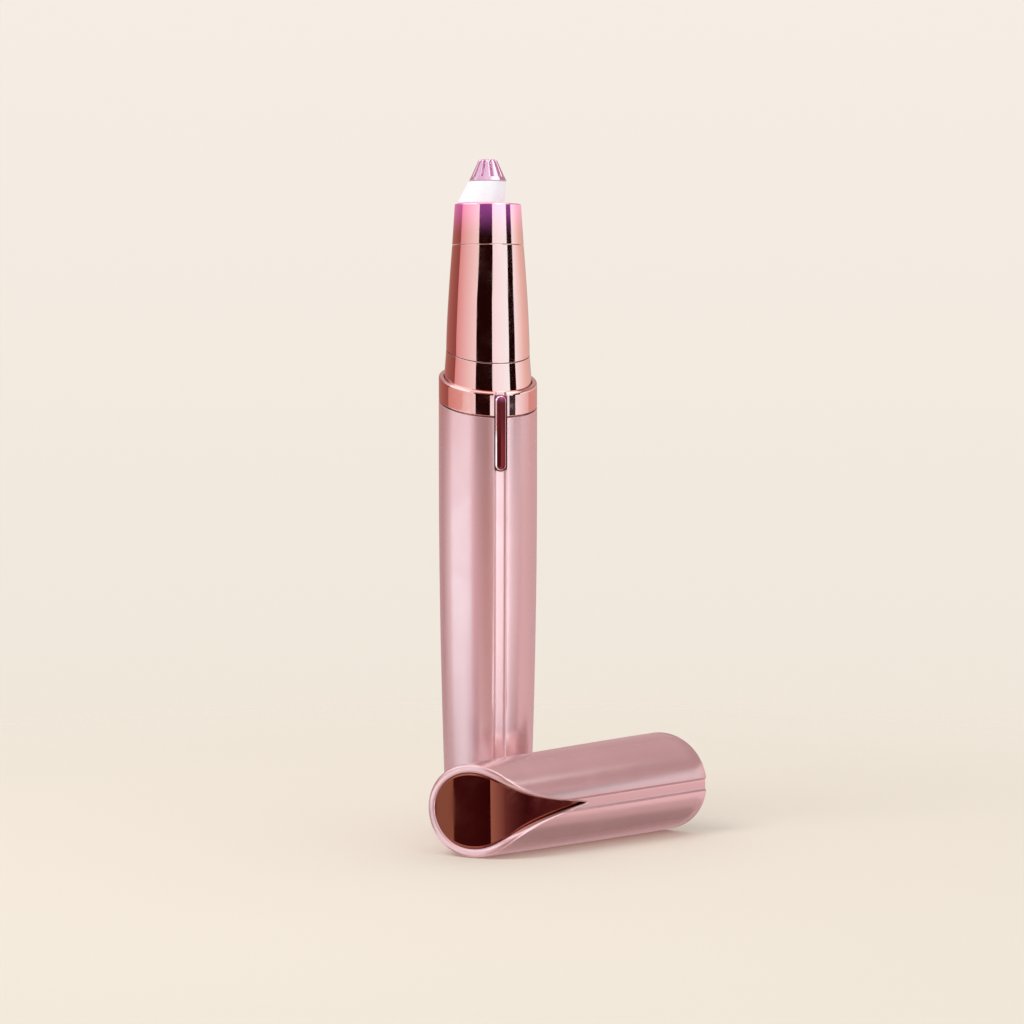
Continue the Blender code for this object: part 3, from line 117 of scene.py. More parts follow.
# %% Radius of each turned surface
TAPER_POWER = 1.9
CONE_POWER = 1.45
FLUTE_POWER = 6
FLUTE_HALF = FLUTE_WIDTH / 2
CHORD_DEPTH = FLUTE_DEPTH - (BODY_RADIUS - math.sqrt(BODY_RADIUS ** 2 - FLUTE_HALF ** 2))
FLUTE_SOFTNESS = 0.03 * MM
FARTHEST = 40


def sleeve_radius(height):
    """Radius of the sleeve: the full radius less a share that grows as a power of the way down."""
    share = np.clip(1 - np.asarray(height) / TAPER_HEIGHT, 0, None)
    return BODY_RADIUS - (BODY_RADIUS - FOOT_RADIUS) * share ** TAPER_POWER


def collar_radius(height):
    """Radius of the collar: the full radius at every height."""
    return np.full_like(height, BODY_RADIUS)


def cone_radius(height):
    """Radius of the cone: nearly straight at first, then leaning in as a power of the way up."""
    share = np.clip((np.asarray(height) - CONE_BASE) / CONE_HEIGHT, 0, 1)
    return NECK_TOP_RADIUS - (NECK_TOP_RADIUS - CONE_TOP_RADIUS) * share ** CONE_POWER


def fluted(radius, angle):
    """Radius of a round section with the flute: the soft minimum of the body and the flute's floor.

    The floor is level in the middle and climbs to the flute's edges as the 6th power of the way
    across. How near the two surfaces are is counted in softnesses, and held to 40 of them.
    """
    aside = radius * np.sin(angle)
    ahead = radius * np.cos(angle)
    channel = radius - FLUTE_DEPTH + CHORD_DEPTH * np.abs(aside / FLUTE_HALF) ** FLUTE_POWER
    near = np.clip((channel - ahead) / FLUTE_SOFTNESS, -FARTHEST, FARTHEST)
    floor = ahead - FLUTE_SOFTNESS * np.logaddexp(0, -near)
    in_front = (np.cos(angle) > 0) & (np.abs(aside) < FLUTE_WIDTH)
    return np.where(in_front, np.hypot(aside, floor), radius)


print("depth of the flute below its edges in mm:", round(CHORD_DEPTH / MM, 3))

# %% [markdown]
# ## Surfaces from arrays
# Each piece is a stack of rings. A ring is a closed row of points, and the rings follow each other
# down the outside and back up the bore, so that the last one meets the first and the skin is closed
# without caps. The arrays go to Blender in one call, with no loop over the points.

# %% Helpers that turn arrays into pieces
TRIMMER_PLACE = np.array(Matrix.Rotation(TRIMMER_TURN, 4, "Z"))
SHARP_ANGLE = math.radians(35)
SAME_POINT = 1e-7


def placed(points, place):
    """Points moved by a 4 x 4 matrix: rotation times point, plus shift."""
    return points @ place[:3, :3].T + place[:3, 3]


def from_arrays(name, points, faces):
    """A mesh from an array of points and a list of faces."""
    mesh = bpy.data.meshes.new(name)
    mesh.from_pydata(points.reshape(-1, 3).tolist(), [], faces)
    return mesh


def into_scene(name, data):
    """An object at the origin, unturned, in the scene."""
    thing = bpy.data.objects.new(name, data)
    bpy.context.scene.collection.objects.link(thing)
    return thing


def weld(mesh, reach, outwards):
    """Merge the points within reach of each other, and on request turn the faces outwards."""
    model = bmesh.new()
    model.from_mesh(mesh)
    bmesh.ops.remove_doubles(model, verts=model.verts, dist=reach)
    if outwards:
        bmesh.ops.recalc_face_normals(model, faces=model.faces)
    model.to_mesh(mesh)
    model.free()


def dressed(name, mesh, body, node, finish):
    """A smooth piece with sharp edges kept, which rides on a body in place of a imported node."""
    mesh.shade_smooth()
    mesh.set_sharp_from_angle(angle=SHARP_ANGLE)
    mesh.materials.clear()
    mesh.materials.append(finish)
    piece = into_scene(name, mesh)
    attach(piece, body)
    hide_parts(node)
    return piece


def new_piece(name, points, faces, body, node, slot, finish=None, place=TRIMMER_PLACE, closed=True):
    """A piece from an array of points and an array of faces, in its slot's finish or in another."""
    mesh = from_arrays(name, placed(points, place), faces.tolist())
    if closed:
        weld(mesh, SAME_POINT, outwards=True)
    print(f"{name}: {len(mesh.polygons)} faces on {body}")
    return dressed(name, mesh, body, node, finish or FINISH[slot])


def ring_faces(rings, around, closed=True):
    """Quads between rings that follow each other; a closed stack joins the last to the first."""
    ring, corner = np.meshgrid(np.arange(rings if closed else rings - 1), np.arange(around),
                               indexing="ij")
    following = (ring + 1) % rings
    beside = (corner + 1) % around
    quads = [ring * around + corner, ring * around + beside,
             following * around + beside, following * around + corner]
    return np.stack(quads, axis=-1).reshape(-1, 4)


def sheet_faces(rows, columns):
    """Quads of an open grid of points, row by row."""
    row, column = np.meshgrid(np.arange(rows - 1), np.arange(columns - 1), indexing="ij")
    corner = row * columns + column
    quads = [corner, corner + columns, corner + columns + 1, corner + 1]
    return np.stack(quads, axis=-1).reshape(-1, 4)


# %% [markdown]
# A profile is a row of corners, and moulded or polished corners are round. A corner's arc alone
# would tilt the shading of the flat beside it, so a second ring stands just outside each arc and
# holds it.

# %% Rounded profiles
ARC_STEPS = 6
HOLD = 1.2
LONGEST_SHARE = 0.4


def rounded(corners, steps=ARC_STEPS, size=2):
    """Rows of a profile. A number after a row's own values rounds its corner with a parabolic arc.

    The arc runs from a point before the corner to one after it, the given distance away or 0.4 of
    the side at most, and bends towards the corner by weights (1 - t)^2, 2 t (1 - t) and t^2.
    """
    rows = []
    for index, corner in enumerate(corners):
        here = np.array(corner[:size], float)
        if len(corner) == size:
            rows.append(here[None])
            continue
        before = np.array(corners[index - 1][:size]) - here
        after = np.array(corners[(index + 1) % len(corners)][:size]) - here
        before *= min(corner[size] / np.linalg.norm(before), LONGEST_SHARE)
        after *= min(corner[size] / np.linalg.norm(after), LONGEST_SHARE)
        share = np.linspace(0, 1, steps)[:, None]
        arc = ((here + before) * (1 - share) ** 2 + here * 2 * share * (1 - share)
               + (here + after) * share ** 2)
        rows += [(here + before * HOLD)[None], arc, (here + after * HOLD)[None]]
    return np.concatenate(rows)


# %% [markdown]
# The columns round a fluted piece are not evenly spaced: they crowd on the flute's two edges, where
# the surface turns sharply, and spread out over the plain back.

# %% Columns round a piece, and turned pieces
FLUTE_COLUMNS = 17
EDGE_COLUMNS = 9
BACK_COLUMNS = 75
ROUND_COLUMNS = 144
FLUTE_EDGE = math.asin(FLUTE_HALF / BODY_RADIUS)
EDGE_SPREAD = 0.07


def fluted_angles():
    """Angles from the flute's centre: even across it, dense on its edge, even round the back."""
    inner, outer = FLUTE_EDGE * (1 - EDGE_SPREAD), FLUTE_EDGE * (1 + EDGE_SPREAD)
    half = np.concatenate([np.linspace(0, inner, FLUTE_COLUMNS)[:-1],
                           np.linspace(inner, outer, EDGE_COLUMNS)[:-1],
                           np.linspace(outer, math.pi, BACK_COLUMNS)])
    return np.concatenate([-half[-2:0:-1], half])


ROUND_ANGLES = np.linspace(-math.pi, math.pi, ROUND_COLUMNS, endpoint=False)
FLUTE_ANGLES = fluted_angles()
print("columns round a fluted piece:", len(FLUTE_ANGLES))


def turned(name, corners, node, slot, lean, outline=None):
    """A profile carried round the handle's axis, with the flute cut where an outline is given.

    lean is a row of (height, fall): a ring is sheared by that fall over one body radius.
    """
    profile = rounded(corners)
    angles = ROUND_ANGLES if outline is None else FLUTE_ANGLES
    radius = np.repeat(profile[:, :1], len(angles), axis=1)
    height = np.repeat(profile[:, 1:], len(angles), axis=1)
    if outline is not None:
        radius = np.minimum(radius, fluted(outline(profile[:, 1])[:, None], angles[None]))
    across = -radius * np.cos(angles)
    heights, falls = zip(*lean)
    height = height + across / BODY_RADIUS * np.interp(height, heights, falls)
    points = np.stack([radius * np.sin(angles), across, height], axis=-1)
    return new_piece(name, points, ring_faces(*radius.shape), "handle", node, slot)


# %% [markdown]
# ## Finishes
# Each finish is a Principled shader fed by small node groups that are built once. They work on
# object coordinates, so a pattern keeps its real size: metallic flake in the lacquer is about a
# tenth of a millimetre, and the marks that hands leave are a few millimetres across.

# %% Helpers for nodes
VECTOR, COLOUR, FLOAT = "NodeSocketVector", "NodeSocketColor", "NodeSocketFloat"


def feed(tree, socket, value):
    """Give a socket its value: another node's output, a number, or a colour as three numbers."""
    if isinstance(value, bpy.types.NodeSocket):
        tree.links.new(value, socket)
    else:
        socket.default_value = (*value, 1) if socket.type == "RGBA" else value


def add(tree, kind, **settings):
    """One node. A setting is one of its sockets, with _ for a blank, or else one of its options."""
    node = tree.nodes.new(kind)
    for label, value in settings.items():
        if label.replace("_", " ") in node.inputs:
            feed(tree, node.inputs[label.replace("_", " ")], value)
        else:
            setattr(node, label, value)
    return node


def calculate(tree, operation, first, second):
    """One sum on two values."""
    node = add(tree, "ShaderNodeMath", operation=operation)
    feed(tree, node.inputs[0], first)
    feed(tree, node.inputs[1], second)
    return node.outputs[0]


def blend(tree, factor, first, second):
    """Two colours mixed: the first where the factor is 0, the second where it is 1."""
    mix = add(tree, "ShaderNodeMix", data_type="RGBA", Factor=factor, A=first, B=second)
    return mix.outputs["Result"]


def ramp(tree, value, start, end, low=0.0, high=1.0, curve="SMOOTHSTEP"):
    """A value's step from low at its start to high at its end, smooth or else straight."""
    reach = add(tree, "ShaderNodeMapRange", interpolation_type=curve, Value=value,
                From_Min=start, From_Max=end, To_Min=low, To_Max=high)
    return reach.outputs["Result"]


def new_group(name, inputs, outputs):
    """An empty shader group. Inputs map a name to its type and first value, outputs to a type."""
    group = bpy.data.node_groups.new(name, "ShaderNodeTree")
    for label, (kind, value) in inputs.items():
        socket = group.interface.new_socket(label, in_out="INPUT", socket_type=kind)
        if value is not None:
            socket.default_value = value
    for label, kind in outputs.items():
        group.interface.new_socket(label, in_out="OUTPUT", socket_type=kind)
    return group, add(group, "NodeGroupInput").outputs, add(group, "NodeGroupOutput").inputs


# %% Node groups that the finishes share
CLOUD_LOW, CLOUD_HIGH = 0.38, 0.68


def flake_group():
    """Metallic flake: each cell of a fine Voronoi pattern is lighter or darker by its own amount.

    The colour is multiplied by 1 plus the spread times (the cell's random value less a half).
    """
    group, given, made = new_group(
        "metallic_flake",
        {"Vector": (VECTOR, None), "Colour": (COLOUR, (0.8, 0.5, 0.5, 1)),
         "Scale": (FLOAT, 9000.0), "Spread": (FLOAT, 0.12)},
        {"Colour": COLOUR})
    cells = add(group, "ShaderNodeTexVoronoi", feature="F1",
                Vector=given["Vector"], Scale=given["Scale"])
    split = add(group, "ShaderNodeSeparateColor", Color=cells.outputs["Color"])
    centred = calculate(group, "SUBTRACT", split.outputs["Red"], 0.5)
    level = calculate(group, "ADD", calculate(group, "MULTIPLY", centred, given["Spread"]), 1.0)
    shade = add(group, "ShaderNodeVectorMath", operation="SCALE", Scale=level)
    feed(group, shade.inputs[0], given["Colour"])
    feed(group, made["Colour"], shade.outputs[0])
    return group


def marks_group():
    """Handling marks: soft cloudy patches a few millimetres wide, and finer ones inside them."""
    group, given, made = new_group(
        "handling_marks",
        {"Vector": (VECTOR, None), "Low": (FLOAT, 0.1), "High": (FLOAT, 0.2),
         "Scale": (FLOAT, 160.0)},
        {"Roughness": FLOAT, "Mask": FLOAT})
    cloud = add(group, "ShaderNodeTexNoise", Detail=4.0, Roughness=0.62, Distortion=0.6,
                Vector=given["Vector"], Scale=given["Scale"]).outputs["Fac"]
    feed(group, made["Roughness"],
         ramp(group, cloud, CLOUD_LOW, CLOUD_HIGH, given["Low"], given["High"]))
    feed(group, made["Mask"], cloud)
    return group


def peel_group():
    """Orange peel: the shallow waves that sprayed lacquer dries to, a millimetre or two long."""
    group, given, made = new_group(
        "orange_peel", {"Vector": (VECTOR, None), "Scale": (FLOAT, 420.0)}, {"Height": FLOAT})
    waves = add(group, "ShaderNodeTexNoise", Detail=1.0, Roughness=0.4,
                Vector=given["Vector"], Scale=given["Scale"])
    feed(group, made["Height"], waves.outputs["Fac"])
    return group


def lines_group():
    """Fine turning lines: noise stretched wide across the axis, so it varies with height alone."""
    group, given, made = new_group(
        "turning_lines", {"Vector": (VECTOR, None), "Lines per metre": (FLOAT, 9000.0)},
        {"Height": FLOAT})
    stretch = add(group, "ShaderNodeMapping", vector_type="POINT",
                  Vector=given["Vector"], Scale=(0.02, 0.02, 1.0))
    lines = add(group, "ShaderNodeTexNoise", Detail=2.0, Roughness=0.5,
                Vector=stretch.outputs["Vector"], Scale=given["Lines per metre"])
    feed(group, made["Height"], lines.outputs["Fac"])
    return group


FLAKE = flake_group()
MARKS = marks_group()
PEEL = peel_group()
LINES = lines_group()
print("node groups:", [group.name for group in (FLAKE, MARKS, PEEL, LINES)])


# %% [markdown]
# A finish places these groups and feeds them to the shader. Values that are the same all over, such
# as how metallic it is, are typed on the shader's own sockets.

# %% How a finish is put together
def new_finish(name, **values):
    """A material with a Principled shader, its plain values, and object coordinates to use."""
    material = bpy.data.materials.new(name)
    material.use_nodes = True
    tree = material.node_tree
    shader = tree.nodes["Principled BSDF"]
    for label, value in values.items():
        feed(tree, shader.inputs[label.replace("_", " ")], value)
    where = add(tree, "ShaderNodeTexCoord").outputs["Object"]
    return material, tree, shader.inputs, where


def place_group(tree, group, where, **values):
    """One of the shared groups inside a material, with its own values."""
    node = add(tree, "ShaderNodeGroup", node_tree=group)
    for label, value in {"Vector": where, **values}.items():
        feed(tree, node.inputs[label], value)
    return node.outputs


def relief(tree, shader, height, strength, distance):
    """A bump from a height value. Distance is in metres."""
    bump = add(tree, "ShaderNodeBump", Strength=strength, Distance=distance, Height=height)
    feed(tree, shader["Normal"], bump.outputs["Normal"])


def shaded(colour, share):
    """A colour made lighter or darker by a share, and held to 1."""
    return tuple(min(1.0, part * share) for part in colour)


# %% [markdown]
# The sleeve and the cap are sprayed with pink metallic lacquer. Its pearl blurs what it mirrors
# into broad soft bands, so it is a rough metal under a thin clear coat, with faint orange peel.

# %% Lacquer
def satin_lacquer(name, colour, low, high):
    """Metallic lacquer: flake in the colour, cloudy roughness from low to high, and orange peel."""
    material, tree, shader, where = new_finish(name, Metallic=0.68, Coat_Weight=0.25,
                                               Coat_Roughness=0.2)
    flake = place_group(tree, FLAKE, where, Colour=colour, Scale=9000.0, Spread=0.04)
    marks = place_group(tree, MARKS, where, Low=low, High=high, Scale=120.0)
    peel = place_group(tree, PEEL, where)
    feed(tree, shader["Base Color"], flake["Colour"])
    feed(tree, shader["Roughness"], marks["Roughness"])
    relief(tree, shader, peel["Height"], 0.3, 0.01 * MM)
    return material


# %% [markdown]
# The collar, neck, cone and ring are plated in rose gold, which is a plain mirror. What makes it
# real is haze where hands touched it, and the faintest lines from turning. The lit lens spills
# violet light on the top of the ring, which is added as a glow that grows between two heights.

# %% Plating
ROSE = (0.93, 0.62, 0.57)
VIOLET_SPILL = (0.26, 0.05, 0.23)


def mirror_plating(name, colour, low, high):
    """Bright plating: a mirror with hazy patches, 3% lighter to 4% darker, and turning lines."""
    material, tree, shader, where = new_finish(name, Metallic=1.0)
    marks = place_group(tree, MARKS, where, Low=low, High=high, Scale=190.0)
    lines = place_group(tree, LINES, where)
    feed(tree, shader["Base Color"],
         blend(tree, marks["Mask"], shaded(colour, 1.03), shaded(colour, 0.96)))
    feed(tree, shader["Roughness"], marks["Roughness"])
    relief(tree, shader, lines["Height"], 0.02, 0.004 * MM)
    return material


def local_axes(tree, where):
    """X, Y and Z in the trimmer's own axes: its switch faces -Y once the stand's turn is undone."""
    back = add(tree, "ShaderNodeMapping", vector_type="POINT",
               Vector=where, Rotation=(0, 0, -TRIMMER_TURN))
    return add(tree, "ShaderNodeSeparateXYZ", Vector=back.outputs["Vector"]).outputs


def spilled_light(tree, shader, where, colour, start, end):
    """A glow that grows between two heights, where the lit lens shines on what is next to it."""
    mask = ramp(tree, local_axes(tree, where)["Z"], start, end)
    feed(tree, shader["Emission Color"], blend(tree, mask, (0, 0, 0), colour))
    feed(tree, shader["Emission Strength"], 1.0)


def ring_plating():
    """The head ring's plating, which catches the lens's violet light near its top."""
    material = mirror_plating("ring_plating", ROSE, 0.03, 0.09)
    tree = material.node_tree
    where = next(node for node in tree.nodes if node.type == "TEX_COORD").outputs["Object"]
    spilled_light(tree, tree.nodes["Principled BSDF"].inputs, where, VIOLET_SPILL,
                  RING_BASE + 1.0 * MM, RING_TOP)
    return material


# %% [markdown]
# The slider is one moulding in three colours: a dark maroon mirror on its face, a plated chamfer
# round that, and a black lip at its foot, which is painted shade for the gap round the slider.
# Each colour starts at its own distance from the trimmer's axis, so one material tells them apart
# by depth. A violet glow painted near its top end stands in for the lit lens's light.

# %% Sizes and finish of the slider
SLIDER_LENGTH = 13.6 * MM
SLIDER_HALF = 1.05 * MM
SLIDER_TOP = COLLAR_TOP - SLANT_FALL - 0.5 * MM
SLIDER_FACE = BODY_RADIUS + 0.35 * MM
SLIDER_UNDERSIDE = BODY_RADIUS - 0.3 * MM
CROWN = 0.14 * MM
BRIM = SLIDER_FACE - CROWN
CHAMFER = 0.27 * MM
# The lip is a thin flange whose near-black colour is painted shade for the gap round the slider.
SHADOW_LIP = 0.14 * MM
SHADOW_LIP_FOOT = BODY_RADIUS - 0.08 * MM
SHADOW_LIP_TOP = BODY_RADIUS - 0.02 * MM
COLOUR_STEP = 0.02 * MM
FACE_START = BRIM - 0.025 * MM


def slider_finish():
    """Lip, chamfer and face by depth, each changing into the next over a step of 0.02 mm. The black
    lip is painted shade for the gap round the slider, and the violet glow at its top is painted
    light.
    """
    material, tree, shader, where = new_finish("maroon_mirror", Metallic=1.0)
    depth = local_axes(tree, where)["Y"]
    marks = place_group(tree, MARKS, where, Low=0.07, High=0.14, Scale=400.0)
    chamfer = ramp(tree, depth, -SHADOW_LIP_TOP, -SHADOW_LIP_TOP - COLOUR_STEP)
    face = ramp(tree, depth, -FACE_START, -FACE_START - COLOUR_STEP)
    # The near-black lip colour is painted shade standing in for the shadow in the gap round the
    # slider.
    rim = blend(tree, chamfer, (0.03, 0.008, 0.010), (0.90, 0.66, 0.64))
    feed(tree, shader["Base Color"], blend(tree, face, rim, (0.12, 0.016, 0.018)))
    feed(tree, shader["Roughness"], marks["Roughness"])
    # Painted light: a violet glow on the slider's top end stands in for the lens's light falling on
    # it.
    spilled_light(tree, shader, where, (0.20, 0.06, 0.17), SLIDER_TOP - 1.6 * MM, SLIDER_TOP)
    return material


# %% [markdown]
# Everything else is moulded plastic or plain metal stock, such as the milky lens, the guard, the
# battery tube and the motor. They share one recipe with different colours and roughnesses.

# %% Plain stock, and the list of finishes
def moulded(name, colour, roughness, grain=0.04, metallic=0.0, **values):
    """Plain stock: colour 8% and roughness 15% either way in clouds, and a fine grain."""
    material, tree, shader, where = new_finish(name, Metallic=metallic, **values)
    marks = place_group(tree, MARKS, where, Low=roughness * 0.85, High=roughness * 1.15,
                        Scale=300.0)
    dots = add(tree, "ShaderNodeTexNoise", Scale=9000.0, Detail=2.0, Vector=where)
    feed(tree, shader["Base Color"],
         blend(tree, marks["Mask"], shaded(colour, 0.92), shaded(colour, 1.08)))
    feed(tree, shader["Roughness"], marks["Roughness"])
    relief(tree, shader, dots.outputs["Fac"], grain, 0.02 * MM)
    return material


FINISH = {
    "pink_shell": satin_lacquer("pink_satin", (0.78, 0.52, 0.53), 0.21, 0.26),
    "rose_gold": mirror_plating("rose_gold_plating", ROSE, 0.03, 0.09),
    "copper_mirror": mirror_plating("dark_copper_mirror", (0.30, 0.09, 0.06), 0.03, 0.08),
    "slider_maroon": slider_finish(),
    "guard_gold": moulded("guard_plating", (0.90, 0.62, 0.76), 0.16, 0.01, 0.85),
    "lens_white": moulded("lit_lens", (0.80, 0.80, 0.82), 0.4, 0.02,
                          Emission_Color=(0.95, 0.88, 1.0), Emission_Strength=0.17),
    # Painted light: the cutter's violet-tinted colour and faint glow stand in for the lens's light
    # on it.
    "lit_steel": moulded("lit_steel", (0.62, 0.50, 0.60), 0.3, 0.03, 0.9,
                         Emission_Color=(0.24, 0.08, 0.18), Emission_Strength=1.0),
    "white_plastic": moulded("white_moulding", (0.78, 0.77, 0.73), 0.45),
    "black_plastic": moulded("black_moulding", (0.03, 0.03, 0.032), 0.42),
    "wire_red": moulded("red_wire_sleeve", (0.5, 0.02, 0.02), 0.4),
    "board_green": moulded("board_lacquer", (0.02, 0.17, 0.07), 0.3),
    "cell_wrap": moulded("cell_wrap_film", (0.10, 0.10, 0.12), 0.25),
    "nickel": moulded("nickel_sheet", (0.70, 0.66, 0.58), 0.25, 0.03, 1.0),
    "steel": moulded("drawn_steel", (0.62, 0.62, 0.64), 0.24, 0.03, 1.0),
}
print("finishes:", len(FINISH))

# %% [markdown]
# ## The handle
# The sleeve is one closed skin: down the fluted outside, round the foot, over the bayonet lip and
# back up the bore. Its top is cut on a slant by shearing the rings more and more towards the top.

# %% Sleeve
SLANT_START = 0.85 * SLEEVE_HEIGHT
STATIONS = 26
EDGE = 0.1 * MM
FOOT_ROUND = 0.4 * MM
FOOT_LIP_RADIUS = FOOT_RADIUS - SLEEVE_WALL - 0.6 * MM
FOOT_LIP_HEIGHT = 1.4 * MM


def sleeve_bore(height):
    """Bore of the sleeve: its radius less the wall."""
    return float(sleeve_radius(height)) - SLEEVE_WALL


def sleeve_profile():
    """The sleeve's section: a station every few millimetres outside, then foot, lip and bore."""
    heights = SLEEVE_HEIGHT * np.linspace(1, 0, STATIONS)[1:-1]
    bore_heights = SLEEVE_HEIGHT * np.array([0.15, 0.35, 0.6, 0.85])
    return [(BODY_RADIUS, SLEEVE_HEIGHT, EDGE),
            *[(float(sleeve_radius(height)), height) for height in heights],
            (FOOT_RADIUS, 0, FOOT_ROUND), (FOOT_LIP_RADIUS, 0, EDGE),
            (FOOT_LIP_RADIUS, FOOT_LIP_HEIGHT, EDGE),
            (sleeve_bore(FOOT_LIP_HEIGHT), FOOT_LIP_HEIGHT),
            *[(sleeve_bore(height), height) for height in bore_heights],
            (BODY_RADIUS - SLEEVE_WALL, SLEEVE_HEIGHT, EDGE)]


turned("sleeve", sleeve_profile(), "handle_sleeve", "pink_shell",
       [(SLANT_START, 0.0), (SLEEVE_HEIGHT, SLANT_FALL)], sleeve_radius)

# %% [markdown]
# The collar slants as the sleeve's top does, and the neck above it slants at both ends. Both are
# short rings with a few corners, sheared by the same rule, so the seams stay parallel.

# %% Collar and neck
COLLAR_BORE = NECK_RADIUS + 0.12 * MM
COLLAR_ROUND = 0.5 * MM
NECK_FOOT = SLEEVE_HEIGHT - NECK_SPIGOT_LENGTH
SEAM_EDGE = 0.05 * MM
turned("collar", [(COLLAR_BORE, COLLAR_TOP, EDGE), (BODY_RADIUS, COLLAR_TOP, COLLAR_ROUND),
                  (BODY_RADIUS, COLLAR_BASE, EDGE), (COLLAR_BORE, COLLAR_BASE, EDGE)],
       "collar_ring", "rose_gold", [(COLLAR_BASE, SLANT_FALL), (COLLAR_TOP, SLANT_FALL)],
       collar_radius)
turned("neck", [(NECK_BORE, NECK_TOP, EDGE), (NECK_TOP_RADIUS, NECK_TOP, SEAM_EDGE),
                (NECK_RADIUS, COLLAR_TOP), (NECK_RADIUS, COLLAR_BASE),
                (NECK_SPIGOT_RADIUS, COLLAR_BASE), (NECK_SPIGOT_RADIUS, NECK_FOOT, EDGE),
                (NECK_BORE, NECK_FOOT)],
       "neck_ring", "rose_gold", [(NECK_FOOT, 0), (COLLAR_BASE, SLANT_FALL),
                                  (COLLAR_TOP, SLANT_FALL), (NECK_TOP, SEAM_FALL)])

# %% [markdown]
# ## The cone and the ring above it
# The cone leans with the slanted seam at its foot and is level at its top, so the shear fades out
# on the way up. It ends in a thin spigot that the head ring grips.

# %% Cone
WEB_TOP = CONE_BASE + 10.8 * MM
SPIGOT_TOP = CONE_TOP + 2.8 * MM
SPIGOT_RADIUS = CONE_TOP_RADIUS - 1.1 * MM
SPIGOT_BORE = SPIGOT_RADIUS - 0.8 * MM
CONE_TOP_WALL = 0.9 * MM
FINE_EDGE = 0.04 * MM
LEAN_STEPS = 25


def cone_profile():
    """The cone's section: spigot and top edge, stations down the flank, foot, then the bore."""
    heights = CONE_BASE + CONE_HEIGHT * np.linspace(0.985, 0.03, STATIONS)
    foot = CONE_BASE - SEAM_CLOSE
    return [(SPIGOT_BORE, SPIGOT_TOP, EDGE), (SPIGOT_RADIUS, SPIGOT_TOP, 2 * EDGE),
            (SPIGOT_RADIUS, CONE_TOP), (CONE_TOP_RADIUS, CONE_TOP, SEAM_EDGE),
            *[(float(cone_radius(height)), height) for height in heights],
            (NECK_TOP_RADIUS, foot, FINE_EDGE), (NECK_BORE, foot, SEAM_EDGE),
            (NECK_BORE, WEB_TOP + GAP), (CONE_TOP_RADIUS - CONE_TOP_WALL, CONE_TOP - CONE_TOP_WALL),
            (SPIGOT_BORE, CONE_TOP - CONE_TOP_WALL)]


def cone_lean():
    """The seam's fall at the foot, fading to none at the web by the smooth step 3 t^2 - 2 t^3."""
    share = np.linspace(0, 1, LEAN_STEPS)
    return list(zip(CONE_BASE + (WEB_TOP - CONE_BASE) * share,
                    SEAM_FALL * (1 - share ** 2 * (3 - 2 * share))))


turned("cone", cone_profile(), "head_cone", "rose_gold", cone_lean())

# %% [markdown]
# The ring and the lens have holes and edges whose centres do not share one axis, so their rings are
# written as (shift along X, radius, height). Between two unlike circles the skin runs straight.

# %% Head ring and lens
PLATE = RING_TOP - 0.9 * MM
STEP = RING_BASE + 2.8 * MM + GAP
RING_WALL = 0.8 * MM
RING_FOOT = RING_BASE - SEAM_CLOSE
RING_ROUND = 0.22 * MM
HOLE = 3.6 * MM
HOLE_SHIFT = -0.9 * MM
LENS_TOP_RADIUS = 3.45 * MM
LENS_TOP_SHIFT = -0.15 * MM
LENS_BASE_RADIUS = 4.33 * MM
LENS_BASE_SHIFT = -1.37 * MM
LENS_SPIGOT = 3.3 * MM
LENS_BORE = 1.7 * MM
LENS_FOOT = LENS_BASE - 1.1 * MM
LENS_ROUND = 0.25 * MM
LENS_BASE_ROUND = 0.12 * MM


def circles(name, rows, node, slot, finish=None):
    """A closed skin on the head through circles, each given as (shift along X, radius, height)."""
    shift, radius, height = rounded(rows, size=3).T[..., None]
    points = np.stack([shift + radius * np.sin(ROUND_ANGLES), -radius * np.cos(ROUND_ANGLES),
                       height + 0 * ROUND_ANGLES], axis=-1)
    return new_piece(name, points, ring_faces(*points.shape[:2]), "head", node, slot, finish)


circles("ring", [(HOLE_SHIFT, HOLE, RING_TOP, EDGE), (0, RING_TOP_RADIUS, RING_TOP, RING_ROUND),
                 (0, CONE_TOP_RADIUS, RING_FOOT, FINE_EDGE),
                 (0, CONE_TOP_RADIUS - RING_WALL, RING_FOOT, SEAM_EDGE),
                 (0, CONE_TOP_RADIUS - RING_WALL, STEP), (0, RING_TOP_RADIUS - RING_WALL, STEP),
                 (0, RING_TOP_RADIUS - RING_WALL, PLATE), (HOLE_SHIFT, HOLE, PLATE)],
        "head_ring", "rose_gold", ring_plating())
circles("lens", [(0, LENS_BORE, LENS_TOP, EDGE),
                 (LENS_TOP_SHIFT, LENS_TOP_RADIUS, LENS_TOP, LENS_ROUND),
                 (LENS_BASE_SHIFT, LENS_BASE_RADIUS, LENS_BASE - SEAM_CLOSE, LENS_BASE_ROUND),
                 (HOLE_SHIFT, LENS_SPIGOT, LENS_BASE - SEAM_CLOSE),
                 (HOLE_SHIFT, LENS_SPIGOT, LENS_FOOT), (0, LENS_BORE, LENS_FOOT)],
        "led_lens", "lens_white")

# %% [markdown]
# ## The guard
# Ten ribs run from a base band up the cone and over its tip to a small hub, with slots between them
# that the hairs enter. Each rib is as wide as the slots leave it, and its section is a rounded bar.

# %% Guard comb
GUARD_SLOTS = 10
SLOT_HALF = 0.22 * MM
GUARD_WALL = 0.5 * MM
GUARD_BASE_RADIUS = 3.4 * MM
GUARD_TOP_RADIUS = 1.65 * MM
SHOULDER = 0.45 * MM
HUB_RADIUS = 0.5 * MM
SLOT_END_RADIUS = 0.55 * MM
GUARD_STATIONS = 30
BAND_STATIONS = 5


